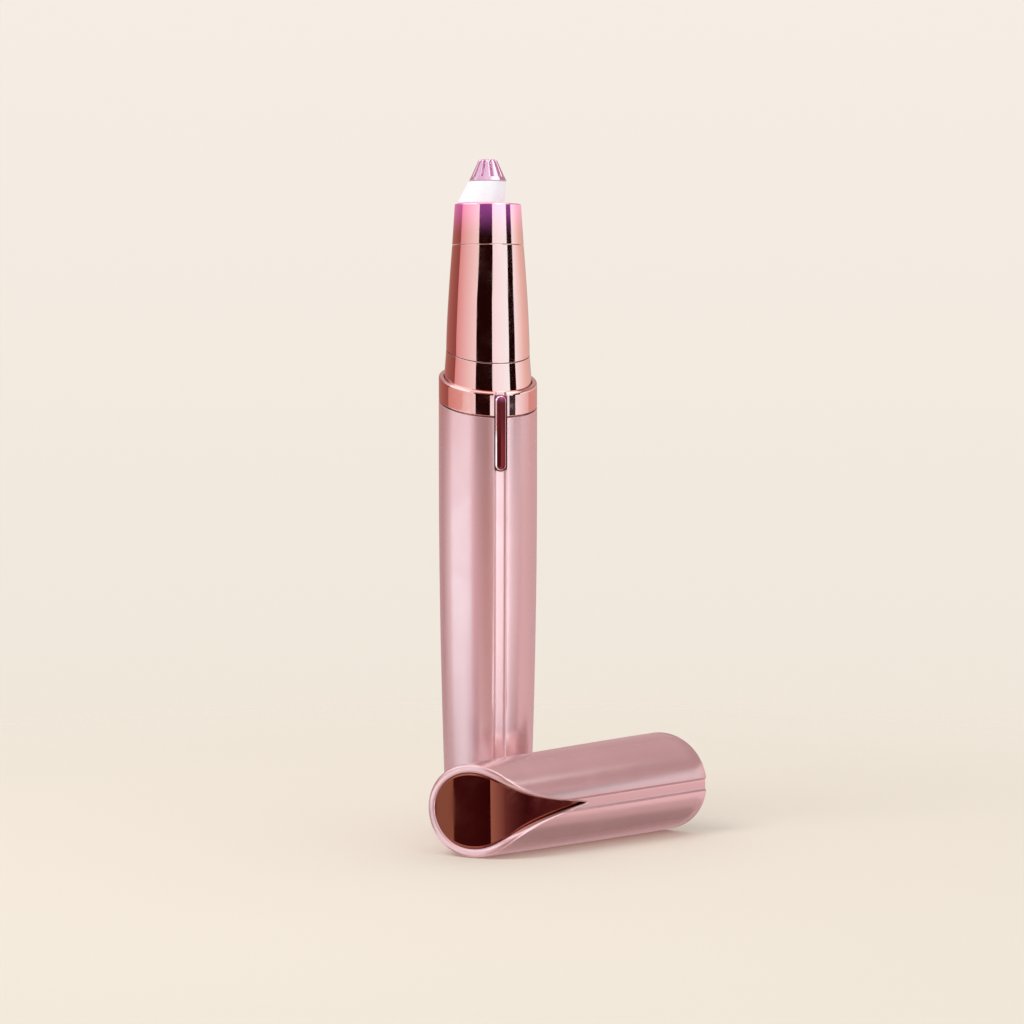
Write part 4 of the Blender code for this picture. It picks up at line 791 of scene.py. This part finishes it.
def guard_path():
    """Outer meridian of the guard as (radius, height), at even steps from its base to its hub."""
    path = rounded([(GUARD_BASE_RADIUS, GUARD_BASE - SEAM_CLOSE),
                    (GUARD_TOP_RADIUS, GUARD_TOP, SHOULDER), (HUB_RADIUS, GUARD_TOP)], steps=9)
    travelled = np.cumsum(np.linalg.norm(np.diff(path, axis=0, prepend=path[:1]), axis=1))
    stations = np.linspace(0, travelled[-1], GUARD_STATIONS)
    return np.stack([np.interp(stations, travelled, path[:, axis]) for axis in (0, 1)], axis=-1)


def rib_section(count=20, power=3.2):
    """A rounded bar's outline: a superellipse from -1 to 1 both ways."""
    turn = np.linspace(0, 2 * math.pi, count, endpoint=False)
    across, through = np.cos(turn), np.sin(turn)
    return (np.sign(across) * np.abs(across) ** (2 / power),
            np.sign(through) * np.abs(through) ** (2 / power))


def around_axis(radius, angle, height):
    """Points from radii, angles and heights."""
    return np.stack([radius * np.cos(angle), radius * np.sin(angle),
                     height + 0 * radius * angle], axis=-1)


def guard_parts():
    """The ribs and the two solid bands that hold them, each as its points and its faces."""
    path = guard_path()
    along = np.gradient(path, axis=0)
    along /= np.linalg.norm(along, axis=1)[:, None]
    inward = np.stack([-along[:, 1], along[:, 0]], axis=-1)
    inward *= -np.sign(inward[:1, 0])
    across, through = rib_section()
    depth = GUARD_WALL * (1 - through) / 2
    radius = path[:, :1] + inward[:, :1] * depth
    height = path[:, 1:] + inward[:, 1:] * depth
    slot_share = np.clip(SLOT_HALF / np.maximum(path[:, :1], SLOT_END_RADIUS), 0, 1)
    half = math.pi / GUARD_SLOTS - np.arcsin(slot_share)
    rib_faces = ring_faces(len(path), len(across), closed=False)
    parts = [(around_axis(radius, 2 * math.pi * rib / GUARD_SLOTS + half * across, height),
              rib_faces) for rib in range(GUARD_SLOTS)]
    for stations in (slice(BAND_STATIONS), slice(-BAND_STATIONS, None)):
        inside = path[stations] + inward[stations] * GUARD_WALL
        skin = np.concatenate([path[stations], inside[::-1]])
        turn = ROUND_ANGLES[None, ::2]
        parts.append((around_axis(skin[:, :1], turn, skin[:, 1:]),
                      ring_faces(len(skin), turn.shape[1])))
    return parts


def joined(parts):
    """One array of points and one of faces from several."""
    points = [part.reshape(-1, 3) for part, _ in parts]
    starts = np.cumsum([0] + [len(part) for part in points])
    return np.concatenate(points), np.concatenate(
        [faces + start for (_, faces), start in zip(parts, starts)])


new_piece("guard", *joined(guard_parts()), "head", "guard_comb", "guard_gold")

# %% [markdown]
# ## The switch
# The slider is a slim pill. Its outline is a stadium: two half circles joined by straight sides.
# Rings of that outline step inwards and upwards round its edge and meet on the middle line,
# slightly crowned.

# %% Slider
RIDGE_START = 0.84
RIDGE_SHARES = (0.04, 0.3, 0.6, 0.84, 0.88, 0.92, 0.96, 0.99)
SOFT = 0.02 * MM


def stadium(inset, count=24):
    """Stadium outline set in by an amount: half circles of the smaller radius, the same sides."""
    turn = np.concatenate([np.linspace(0, math.pi, count),
                           np.linspace(math.pi, 2 * math.pi, count)])
    radius = SLIDER_HALF - inset
    rise = np.where(np.arange(2 * count) < count, 1, -1) * (SLIDER_LENGTH / 2 - SLIDER_HALF)
    return radius * np.cos(turn), radius * np.sin(turn) + rise


def slider_rings():
    """Rings of the pill, from its underside over its lip, whose black is painted gap shade, and its
    chamfer to the ridge on its face.

    The face climbs evenly to the crown's height, and a square law rounds the ridge where it ends.
    """
    foot = BRIM - CHAMFER
    rows = [(SLIDER_HALF * 0.98, SLIDER_UNDERSIDE), (SLIDER_HALF * 0.5, SLIDER_UNDERSIDE),
            (0, SLIDER_UNDERSIDE), (-SHADOW_LIP, SHADOW_LIP_FOOT), (-SHADOW_LIP, SHADOW_LIP_TOP - SOFT),
            (-SHADOW_LIP + 0.03 * MM, SHADOW_LIP_TOP), (0, SHADOW_LIP_TOP), (0, foot - SOFT / 2), (SOFT, foot + SOFT),
            (CHAMFER - SOFT, BRIM - SOFT), (CHAMFER, BRIM)]
    for share in RIDGE_SHARES:
        ridge = max(0, share - RIDGE_START) ** 2 / (2 * (1 - RIDGE_START))
        rows.append((CHAMFER + (SLIDER_HALF - CHAMFER) * share,
                     SLIDER_FACE - CROWN * (1 - share + ridge)))
    rings = []
    for inset, reach in rows:
        aside, rise = stadium(inset)
        rings.append(np.stack([aside, np.full_like(aside, -reach),
                               SLIDER_TOP - SLIDER_LENGTH / 2 + rise], axis=-1))
    return np.array(rings)


def end_faces(rings, around):
    """Quads that close the first and the last ring, straight across from one half to the other."""
    first = np.arange(around // 2 - 1)
    quads = np.stack([first, first + 1, around - 2 - first, around - 1 - first], axis=-1)
    return np.concatenate([quads, quads + (rings - 1) * around])


pill = slider_rings()
pill_faces = [ring_faces(*pill.shape[:2], closed=False), end_faces(*pill.shape[:2])]
new_piece("slider", pill, np.concatenate(pill_faces), "slider", "switch_slider", "slider_maroon")

# %% [markdown]
# ## The cap
# The cap is a tube whose end is cut along a swirl: a deep V in front that sweeps round to a rounded
# back. The cut's height is a function of the angle from the V. The rings of its skin blend from the
# slanted mouth to that cut, roll over the rim, and come back down the bore.

# %% Cap outlines and place
CAP_MOUTH_WALL = 0.85 * MM
CAP_TOP_WALL = 1.5 * MM
CAP_POWER = 1.5
NOTCH_SHARE = 0.68
NOTCH_ANGLE = math.radians(14.5)
NOTCH_TIP = math.radians(0.8)
SWEEP_POWER = 1.2
TOUCH_SHARE = 0.44


def cap_radius(height):
    """Outer radius of the cap, narrowing as a power of the way up."""
    share = np.clip(height, 0, None) / CAP_LENGTH
    return BODY_RADIUS - (BODY_RADIUS - CAP_TOP_RADIUS) * share ** CAP_POWER


def cap_bore(height):
    """Bore of the cap: the outer radius less a wall that thickens evenly from mouth to top."""
    share = np.clip(height, 0, None) / CAP_LENGTH
    return cap_radius(height) - CAP_MOUTH_WALL - (CAP_TOP_WALL - CAP_MOUTH_WALL) * share


def swirl_height(angle):
    """Height of the cut: a steep V that levels out exponentially, and a slow sine sweep back."""
    turned_by = np.sqrt(np.square(angle) + NOTCH_TIP ** 2) - NOTCH_TIP
    notch = 1 - np.exp(-turned_by / NOTCH_ANGLE)
    sweep = np.sin(np.minimum(turned_by, math.pi) / 2) ** SWEEP_POWER
    return CAP_LENGTH - SWIRL_DEPTH * (1 - NOTCH_SHARE * notch - (1 - NOTCH_SHARE) * sweep)


def cap_place():
    """The cap lies on the tangent of its tapered side, beside the trimmer, mouth towards +X.

    The tilt is the slope of its outline where it touches the floor, 0.44 of the way up.
    """
    touch = TOUCH_SHARE * CAP_LENGTH
    slope = (BODY_RADIUS - CAP_TOP_RADIUS) * CAP_POWER / CAP_LENGTH * TOUCH_SHARE ** (CAP_POWER - 1)
    tilt = math.atan(slope)
    height = touch * math.sin(tilt) + float(cap_radius(touch)) * math.cos(tilt)
    shift = Matrix.Translation((CAP_MOUTH_X, -(2 * BODY_RADIUS + GAP), height))
    return np.array(shift @ Matrix.Rotation(-math.pi / 2 - tilt, 4, "Y"))


CAP_PLACE = cap_place()
print("cap's mouth centre in mm:", in_mm(CAP_PLACE[:3, 3], 2))

# %% [markdown]
# The cap's wall is about a millimetre thick and its rim is polished round. The cut is steepest at
# the V, so the columns crowd there. The rim stands a hairline below the cut, so that this finer
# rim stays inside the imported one.

# %% Cap shell
CROWDED_ANGLE = 0.12
CROWDED_COLUMNS = 26
PLAIN_COLUMNS = 92
RIM_INSET = 0.03 * MM
RIM_ROUND = 0.4 * MM
MOUTH_ROUND = 0.2 * MM
WALL_RINGS = 26
RIM_RINGS = 14
MOUTH_RINGS = 8
RIM_CROWDING = 1.4
SLOPE_STEP = 1e-4


def cap_angles():
    """Angles from the V: crowded on it, where the cut is steepest, and on the flute's edges."""
    fine = np.linspace(0, 1, CROWDED_COLUMNS)[1:] ** 2 * CROWDED_ANGLE
    rest = np.linspace(CROWDED_ANGLE, math.pi, PLAIN_COLUMNS)[1:]
    edge = FLUTE_EDGE * np.linspace(0.94, 1.06, 7)
    half = np.concatenate([[0], fine, np.unique(np.round(np.concatenate([rest, edge]), 6))])
    return np.concatenate([-half[-2:0:-1], half])


def cap_shell_rings():
    """The skin's rings: outside from mouth to rim, round the rim, the bore, and the mouth's edge.

    The wall's rings crowd towards the rim by a power of 1.4. Round an edge, a half turn gives each
    ring its depth in the wall, (1 - cos) / 2, and its distance from the edge, 1 - sin.
    """
    angles = cap_angles()
    rim = swirl_height(angles) - RIM_INSET
    slope = (swirl_height(angles + SLOPE_STEP)
             - swirl_height(angles - SLOPE_STEP)) / (2 * SLOPE_STEP)
    length = np.hypot(BODY_RADIUS, slope)

    def ring(angle, height, depth):
        """A ring by its depth in the wall: 0 is the fluted outside and 1 is the bore."""
        radius = fluted(cap_radius(height), angle) * (1 - depth) + cap_bore(height) * depth
        return np.stack([radius * np.sin(angle), -radius * np.cos(angle), height], axis=-1)

    def back_from_rim(distance):
        """Angles and heights of the points that lie a distance below the rim, square to it."""
        return (angles + slope / length * distance / BODY_RADIUS,
                rim - BODY_RADIUS / length * distance)

    mouth = -SLANT_FALL * np.cos(angles)
    rim_angle, rim_height = back_from_rim(RIM_ROUND)
    shares = 1 - (1 - np.linspace(0, 1, WALL_RINGS)) ** RIM_CROWDING

    def wall(share, depth):
        """A ring a share of the way from the mouth to the rim, by parts of each."""
        return ring(angles * (1 - share) + rim_angle * share,
                    (mouth + MOUTH_ROUND) * (1 - share) + rim_height * share, depth)

    over_rim = np.linspace(0, math.pi, RIM_RINGS)[1:-1]
    over_mouth = np.linspace(math.pi, 0, MOUTH_RINGS)[1:-1]
    return np.array(
        [wall(share, 0) for share in shares]
        + [ring(*back_from_rim(RIM_ROUND * (1 - math.sin(turn))), (1 - math.cos(turn)) / 2)
           for turn in over_rim]
        + [wall(share, 1) for share in shares[::-1]]
        + [ring(angles, mouth + MOUTH_ROUND * (1 - math.sin(turn)), (1 - math.cos(turn)) / 2)
           for turn in over_mouth])


shell = cap_shell_rings()
new_piece("cap", shell, ring_faces(*shell.shape[:2]), "cap", "cap_shell", "pink_shell",
          place=CAP_PLACE)

# %% [markdown]
# Inside the swirl sits a bent mirror. Seen from the side it follows the cut; straight lines run
# across it from wall to wall, so it is part of a cylinder with a free form for its section.
# It lies a little below the cut, and ends a hairline short of the wall on both sides.

# %% Mirror insert
MIRROR_PLAY = 0.06 * MM
MIRROR_SINK = 0.4 * MM
MIRROR_TAIL = 1.2 * MM
MIRROR_THICKNESS = 0.6 * MM
NARROWEST_HALF = 1.0 * MM
CUT_SAMPLES = 800


def mirror_face(rows=90, columns=33):
    """Grid of the mirror's face: stations along the cut's side view, even steps across the bore.

    The side view is the cut drawn on the bore, run on a little at the V, and sunk square to itself.
    """
    height = swirl_height(np.linspace(0, math.pi, CUT_SAMPLES))
    ahead = cap_bore(height) * np.cos(np.linspace(0, math.pi, CUT_SAMPLES))
    ahead, height = np.append(ahead[0], ahead), np.append(height[0] - MIRROR_TAIL, height)
    along, up = np.gradient(ahead), np.gradient(height)
    size = np.hypot(along, up)
    ahead, height = ahead - MIRROR_SINK * up / size, height + MIRROR_SINK * along / size
    half = np.sqrt(np.clip((cap_bore(height) - MIRROR_PLAY) ** 2 - ahead ** 2, 0, None))
    line = np.stack([half, -ahead, height], axis=-1)[half > NARROWEST_HALF]
    steps = np.hypot(*np.diff(line[:, 1:], axis=0, prepend=line[:1, 1:]).T)
    travelled = np.cumsum(steps)
    station = np.linspace(0, travelled[-1], rows)
    half, back, height = [np.interp(station, travelled, values)[:, None] for values in line.T]
    across = np.linspace(-1, 1, columns)
    return np.stack([half * across, back + 0 * across, height + 0 * across], axis=-1)


face = mirror_face()
mirror = new_piece("mirror", face, sheet_faces(*face.shape[:2]), "cap", "cap_insert",
                   "copper_mirror", place=CAP_PLACE, closed=False)
thickness = mirror.modifiers.new("thickness", "SOLIDIFY")
thickness.thickness = MIRROR_THICKNESS
thickness.offset = 1

# %% [markdown]
# ## Pieces that keep their imported shape
# The inner works are right as packed. Their triangles are loose, so a copy of each is merged and
# shaded smooth, and rides on the same body. The lens's light on the cutter is painted on it, as a
# faint violet glow and a violet tint in its colour.

# %% Inner works
RECORD = frame["record"]
BODY_OF = {node: body for body, nodes in RECORD["behaviour"]["bodies"].items() for node in nodes}
SLOT_OF = {part["node"]: part["material_slot"] for part in RECORD["subparts"]}
SHOWN = {"handle_sleeve", "collar_ring", "neck_ring", "head_cone", "head_ring", "led_lens",
         "guard_comb", "switch_slider", "cap_shell", "cap_insert"}
PACKED_SAME_POINT = 1e-6


def merged_copy(node):
    """A welded, smooth-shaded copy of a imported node, in its place."""
    mesh = frame["nodes"][node].data.copy()
    weld(mesh, PACKED_SAME_POINT, outwards=False)
    finish = FINISH["lit_steel" if node == "rotary_cutter" else SLOT_OF[node]]
    return dressed(node + "_smooth", mesh, BODY_OF[node], node, finish)


inner = [merged_copy(node) for node in sorted(frame["nodes"]) if node not in SHOWN]
print("inner pieces merged:", len(inner))

# %% [markdown]
# ## Camera, floor and light
# The camera looks from a little above the cap, with a long lens that keeps the trimmer's sides
# straight. It is placed by a turn round the product, a distance and a height.

# %% Camera
VIEW_TURN = math.radians(-42)
RIGHT = Vector((math.cos(VIEW_TURN), math.sin(VIEW_TURN), 0))
AHEAD = Vector((-math.sin(VIEW_TURN), math.cos(VIEW_TURN), 0))
DISTANCE = 564 * MM
EYE_HEIGHT = 90.0 * MM
AIM_RIGHT = 4.4 * MM
AIM_HEIGHT = 59.3 * MM


def looking(thing, target):
    """Turn an object so that its -Z axis points at a target."""
    thing.rotation_euler = (target - thing.location).to_track_quat("-Z", "Y").to_euler()


camera = into_scene("camera", bpy.data.cameras.new("camera"))
camera.data.lens = 108.35
camera.data.clip_start = 0.01
camera.location = -AHEAD * DISTANCE + Vector((0, 0, EYE_HEIGHT))
looking(camera, RIGHT * AIM_RIGHT + Vector((0, 0, AIM_HEIGHT)))
bpy.context.scene.camera = camera
print("camera at mm:", in_mm(camera.location, 0))

# %% [markdown]
# The floor is pale and plain, and fades into the background a little way out, so there is no edge
# to see. A disc whose alpha falls with the distance from the middle does that.

# %% Floor
BACKDROP_TOP = (0.93, 0.86, 0.80)
BACKDROP_FOOT = (0.86, 0.79, 0.69)
FADE_START = 0.09
FADE_END = 0.26
FLOOR_REACH = 0.3
FLOOR_RINGS = 20
FLOOR_COLUMNS = 96


def floor_finish():
    """Pale floor with faint clouds, clear beyond a circle so that it melts into the backdrop."""
    material, tree, shader, where = new_finish("pale_floor", Roughness=0.75, Specular_IOR_Level=0.1)
    cloud = add(tree, "ShaderNodeTexNoise", Scale=9.0, Detail=1.0, Vector=where).outputs["Fac"]
    distance = add(tree, "ShaderNodeVectorMath", operation="LENGTH", Vector=where).outputs["Value"]
    feed(tree, shader["Base Color"],
         blend(tree, cloud, shaded(BACKDROP_FOOT, 0.997), shaded(BACKDROP_FOOT, 1.003)))
    feed(tree, shader["Alpha"], ramp(tree, distance, FADE_START, FADE_END, 1.0, 0.0))
    return material


def floor():
    """A disc of rings, wide enough for the fade."""
    turn = np.linspace(0, 2 * math.pi, FLOOR_COLUMNS, endpoint=False)
    points = around_axis(np.linspace(0.001, FLOOR_REACH, FLOOR_RINGS)[:, None], turn[None], 0)
    faces = ring_faces(FLOOR_RINGS, FLOOR_COLUMNS, closed=False).tolist()
    mesh = from_arrays("floor", points, faces + [list(range(FLOOR_COLUMNS))])
    mesh.materials.append(floor_finish())
    disc = into_scene("floor", mesh)
    disc.visible_glossy = False


floor()
print("floor laid, radius in mm:", round(FLOOR_REACH / MM))

# %% [markdown]
# The backdrop is a world colour that rises from the floor's own to a paler one. The camera and
# reflections see it, and everything else gets an even white fill, so the product isn't tinted.

# %% Backdrop and fill light
FILL = 0.85
CLIMB_START, CLIMB_END = -0.17, 0.16
FILL_COLOUR = (1.0, 0.985, 0.97)


def studio_world():
    """The backdrop's colour by height for what looks at it; a plain fill for the rest."""
    world = bpy.data.worlds.new("studio")
    world.use_nodes = True
    tree = world.node_tree
    tree.nodes.clear()
    look = add(tree, "ShaderNodeTexCoord").outputs["Generated"]
    height = add(tree, "ShaderNodeSeparateXYZ", Vector=look).outputs["Z"]
    climb = ramp(tree, height, CLIMB_START, CLIMB_END, curve="LINEAR")
    backdrop = add(tree, "ShaderNodeBackground",
                   Color=blend(tree, climb, BACKDROP_FOOT, BACKDROP_TOP))
    plain = add(tree, "ShaderNodeBackground", Strength=FILL, Color=FILL_COLOUR)
    ray = add(tree, "ShaderNodeLightPath").outputs
    looks = calculate(tree, "MAXIMUM", ray["Is Camera Ray"], ray["Is Glossy Ray"])
    looks = calculate(tree, "MAXIMUM", looks, ray["Is Transmission Ray"])
    choose = add(tree, "ShaderNodeMixShader")
    for socket, source in zip(choose.inputs, (looks, plain.outputs[0], backdrop.outputs[0])):
        feed(tree, socket, source)
    add(tree, "ShaderNodeOutputWorld", Surface=choose.outputs[0])
    bpy.context.scene.world = world


studio_world()

# %% [markdown]
# Bright plating shows whatever stands round it, so a studio puts tall cards there: white ones for
# the highlights and black ones for the dark stripes. The shiny pieces look in different directions:
# the plated head straight out, the guard upwards and the mirror in the cap slightly down, while the
# satin lacquer blurs everything. So the cards stand in tiers, each a full turn of glowing strips,
# and only reflections see them. A strip is (last angle, first glow, last glow): it starts where the
# one before it ends, and its glow is blended from edge to edge. Angles are counted in degrees from
# the camera towards the picture's right, and the first strip starts at -180.

# %% Strips of the reflection cards
BLACK = (0.013, 0.002, 0.002)
BACK = (0.56, 0.38, 0.37)
COPPER = (0.42, 0.18, 0.15)
BLUSH = (0.80, 0.58, 0.59)
FAR_LEFT = (-150, BACK, COPPER)
FAR_RIGHT = (180, BLUSH, BACK)
CONE_STRIPS = [
    FAR_LEFT,
    (-98, COPPER, (0.29, 0.085, 0.075)),
    (-32, (0.76, 0.36, 0.37), (0.98, 0.93, 0.95)),
    (12, BLACK, BLACK),
    (60, (1.03, 1.07, 1.17), (1.02, 1.30, 1.38)),
    (80, BLACK, BLACK),
    (118, (1.03, 1.15, 1.23), (0.87, 0.65, 0.60)),
    (180, (0.87, 0.65, 0.60), BACK),
]
RING_STRIPS = CONE_STRIPS[:2] + [
    (-28, (0.76, 0.38, 0.40), (0.98, 0.93, 0.95)),
    (15, BLACK, BLACK),
    (66, (1.03, 1.10, 1.20), (1.02, 1.30, 1.38)),
    (88, BLACK, BLACK),
    (122, (1.03, 1.10, 1.18), (0.87, 0.67, 0.62)),
    (180, (0.87, 0.67, 0.62), BACK),
]
COLLAR_STRIPS = [
    FAR_LEFT,
    (-106, COPPER, (0.34, 0.10, 0.08)),
    (-62, (0.66, 0.30, 0.26), (0.78, 0.42, 0.40)),
    (-29, (0.82, 0.52, 0.50), (0.93, 0.87, 0.90)),
    (5, BLACK, BLACK),
    (51, (1.00, 1.02, 1.10), (0.92, 1.08, 1.22)),
    (67, (0.05, 0.03, 0.035), BLACK),
    (110, (1.05, 1.10, 1.22), (0.80, 0.55, 0.52)),
    (180, (0.72, 0.38, 0.36), BACK),
]
MIRROR_STRIPS = [
    (-115, BACK, (0.55, 0.45, 0.45)),
    (-90, (0.42, 0.30, 0.31), (0.50, 0.40, 0.42)),
    (-62, (0.50, 0.42, 0.44), (0.75, 0.76, 0.80)),
    (-53, (0.70, 0.65, 0.56), (0.74, 0.68, 0.58)),
    (-22, (0.13, 0.04, 0.05), (0.08, 0.01, 0.02)),
    (19, (1.00, 0.95, 0.92), (0.48, 0.34, 0.40)),
    (66, (0.42, 0.27, 0.32), (0.12, 0.03, 0.05)),
    (80, (0.14, 0.03, 0.07), (0.22, 0.09, 0.12)),
    (150, (0.98, 0.77, 0.79), BLUSH),
    FAR_RIGHT,
]
SATIN_STRIPS = [
    (-128, BACK, (0.40, 0.22, 0.24)),
    (-96, (0.40, 0.22, 0.24), (1.05, 1.00, 1.04)),
    (-40, (1.32, 1.62, 1.74), (1.40, 1.66, 1.82)),
    (-15, (0.98, 0.68, 0.78), (0.62, 0.33, 0.36)),
    (16, (0.50, 0.18, 0.14), (0.50, 0.18, 0.14)),
    (29, (1.20, 1.15, 1.18), (1.55, 1.65, 1.72)),
    (50, (2.20, 2.35, 2.45), (2.05, 2.20, 2.30)),
    (84, (1.45, 1.42, 1.48), (0.68, 0.43, 0.45)),
    (180, (0.84, 0.62, 0.63), BACK),
]
LOW_STRIPS = [
    (-128, BACK, (0.35, 0.20, 0.21)),
    (-90, (0.34, 0.19, 0.20), (0.72, 0.64, 0.68)),
    (-40, (0.92, 1.10, 1.18), (1.20, 1.40, 1.52)),
    *SATIN_STRIPS[3:-1],
    (150, (1.20, 0.97, 0.99), BLUSH),
    FAR_RIGHT,
]
DUSK_STRIPS = [
    (-130, BACK, (0.60, 0.50, 0.50)),
    (-30, (1.45, 1.32, 1.36), (1.05, 0.88, 0.92)),
    (180, (0.60, 0.43, 0.44), (0.60, 0.43, 0.44)),
]
DIM_STRIPS = [
    (-110, BACK, (0.34, 0.20, 0.20)),
    (-34, (0.40, 0.24, 0.24), (0.86, 0.66, 0.67)),
    (10, (0.14, 0.06, 0.06), (0.14, 0.06, 0.06)),
    (55, (0.86, 0.70, 0.72), (0.70, 0.50, 0.50)),
    (130, (0.26, 0.17, 0.17), (0.26, 0.17, 0.17)),
    (180, (0.26, 0.17, 0.17), BACK),
]
HIGH_STRIPS = SATIN_STRIPS[:-1] + [
    (150, (0.36, 0.19, 0.20), (0.44, 0.28, 0.28)),
    (180, (0.44, 0.28, 0.28), BACK),
]
GUARD_STRIPS = [
    (-120, BACK, (0.70, 0.58, 0.68)),
    (30, (0.70, 0.58, 0.68), (0.86, 0.74, 0.84)),
    (98, (1.55, 1.70, 1.62), (1.55, 1.70, 1.62)),
    (180, (0.44, 0.26, 0.27), BACK),
]
CEILING_STRIPS = [(180, (1.75, 1.65, 1.65), (1.75, 1.65, 1.65))]

# %% [markdown]
# The stripes on the ring stand a little to the side of those on the cone. Eight thin tiers between
# them move the strips over step by step, so the stripes run on in one line. A tier is its strips and
# the heights that it runs between, in metres above the floor.

# %% Tiers of cards
def between(first, second, low, high, steps):
    """Tiers from one list of strips to the next: edges and colours move on by equal parts."""
    heights = np.linspace(low, high, steps + 1)
    tiers = []
    for step in range(steps):
        share = (step + 0.5) / steps
        strips = [tuple(np.array(old, float) * (1 - share) + np.array(new, float) * share
                        for old, new in zip(*pair)) for pair in zip(first, second)]
        tiers.append((strips, heights[step], heights[step + 1]))
    return tiers


TIERS = [
    (DIM_STRIPS, -1.3, -0.70),
    (DUSK_STRIPS, -0.70, -0.43),
    (LOW_STRIPS, -0.43, -0.20),
    (MIRROR_STRIPS, -0.20, -0.115),
    (SATIN_STRIPS, -0.115, 0.048),
    (COLLAR_STRIPS, 0.048, 0.083),
    (CONE_STRIPS, 0.083, 0.205),
    *between(CONE_STRIPS, RING_STRIPS, 0.205, 0.275, 8),
    (RING_STRIPS, 0.275, 0.31),
    (HIGH_STRIPS, 0.31, 0.80),
    (GUARD_STRIPS, 0.80, 1.45),
    (CEILING_STRIPS, 1.45, 2.8),
]
CARD_DISTANCE = 0.9
CARD_COLUMNS = 48


def card_finish():
    """Plain emission in the colour stored on the points."""
    material = bpy.data.materials.new("card_glow")
    material.use_nodes = True
    material.cycles.emission_sampling = "NONE"
    tree = material.node_tree
    tree.nodes.clear()
    glow = add(tree, "ShaderNodeAttribute", attribute_name="glow").outputs["Color"]
    emit = add(tree, "ShaderNodeEmission", Color=glow)
    add(tree, "ShaderNodeOutputMaterial", Surface=emit.outputs[0])
    return material


def card_tier(name, strips, low, high):
    """A turn of upright cards: each strip is an arc at card distance, drawn at two heights."""
    share = np.linspace(0, 1, CARD_COLUMNS)[:, None]
    parts, glows, start = [], [], -180
    for end, first, last in strips:
        turn = np.radians(start + (end - start) * share)
        toward = (np.array(RIGHT) * np.sin(turn) - np.array(AHEAD) * np.cos(turn)) * CARD_DISTANCE
        parts.append((np.stack([toward + (0, 0, low), toward + (0, 0, high)]),
                      sheet_faces(2, CARD_COLUMNS)))
        glows += 2 * [np.array(first) * (1 - share) + np.array(last) * share]
        start = end
    points, faces = joined(parts)
    colours = np.pad(np.concatenate(glows), ((0, 0), (0, 1)), constant_values=1)
    mesh = from_arrays(name, points, faces.tolist())
    mesh.attributes.new("glow", "FLOAT_COLOR", "POINT").data.foreach_set("color", colours.ravel())
    mesh.materials.append(CARD_FINISH)
    cards = into_scene(name, mesh)
    cards.visible_camera = cards.visible_diffuse = False
    cards.visible_transmission = cards.visible_shadow = False


CARD_FINISH = card_finish()
for number, tier in enumerate(TIERS):
    card_tier(f"tier_{number}_cards", *tier)
print("tiers of reflection cards:", len(TIERS))

# %% [markdown]
# One round lamp high at the left gives the soft shadow on the floor. Reflections don't show it,
# because the cards already make the highlights.

# %% Key lamp
LAMP_LEFT, LAMP_FRONT, LAMP_HEIGHT = 0.45, 0.35, 0.75
key = into_scene("key", bpy.data.lights.new("key", "AREA"))
key.data.shape = "DISK"
key.data.size = 0.5
key.data.energy = 2.2
key.location = -RIGHT * LAMP_LEFT - AHEAD * LAMP_FRONT + Vector((0, 0, LAMP_HEIGHT))
looking(key, Vector())
key.visible_glossy = False

# %% Colour management
bpy.context.scene.view_settings.view_transform = "Standard"
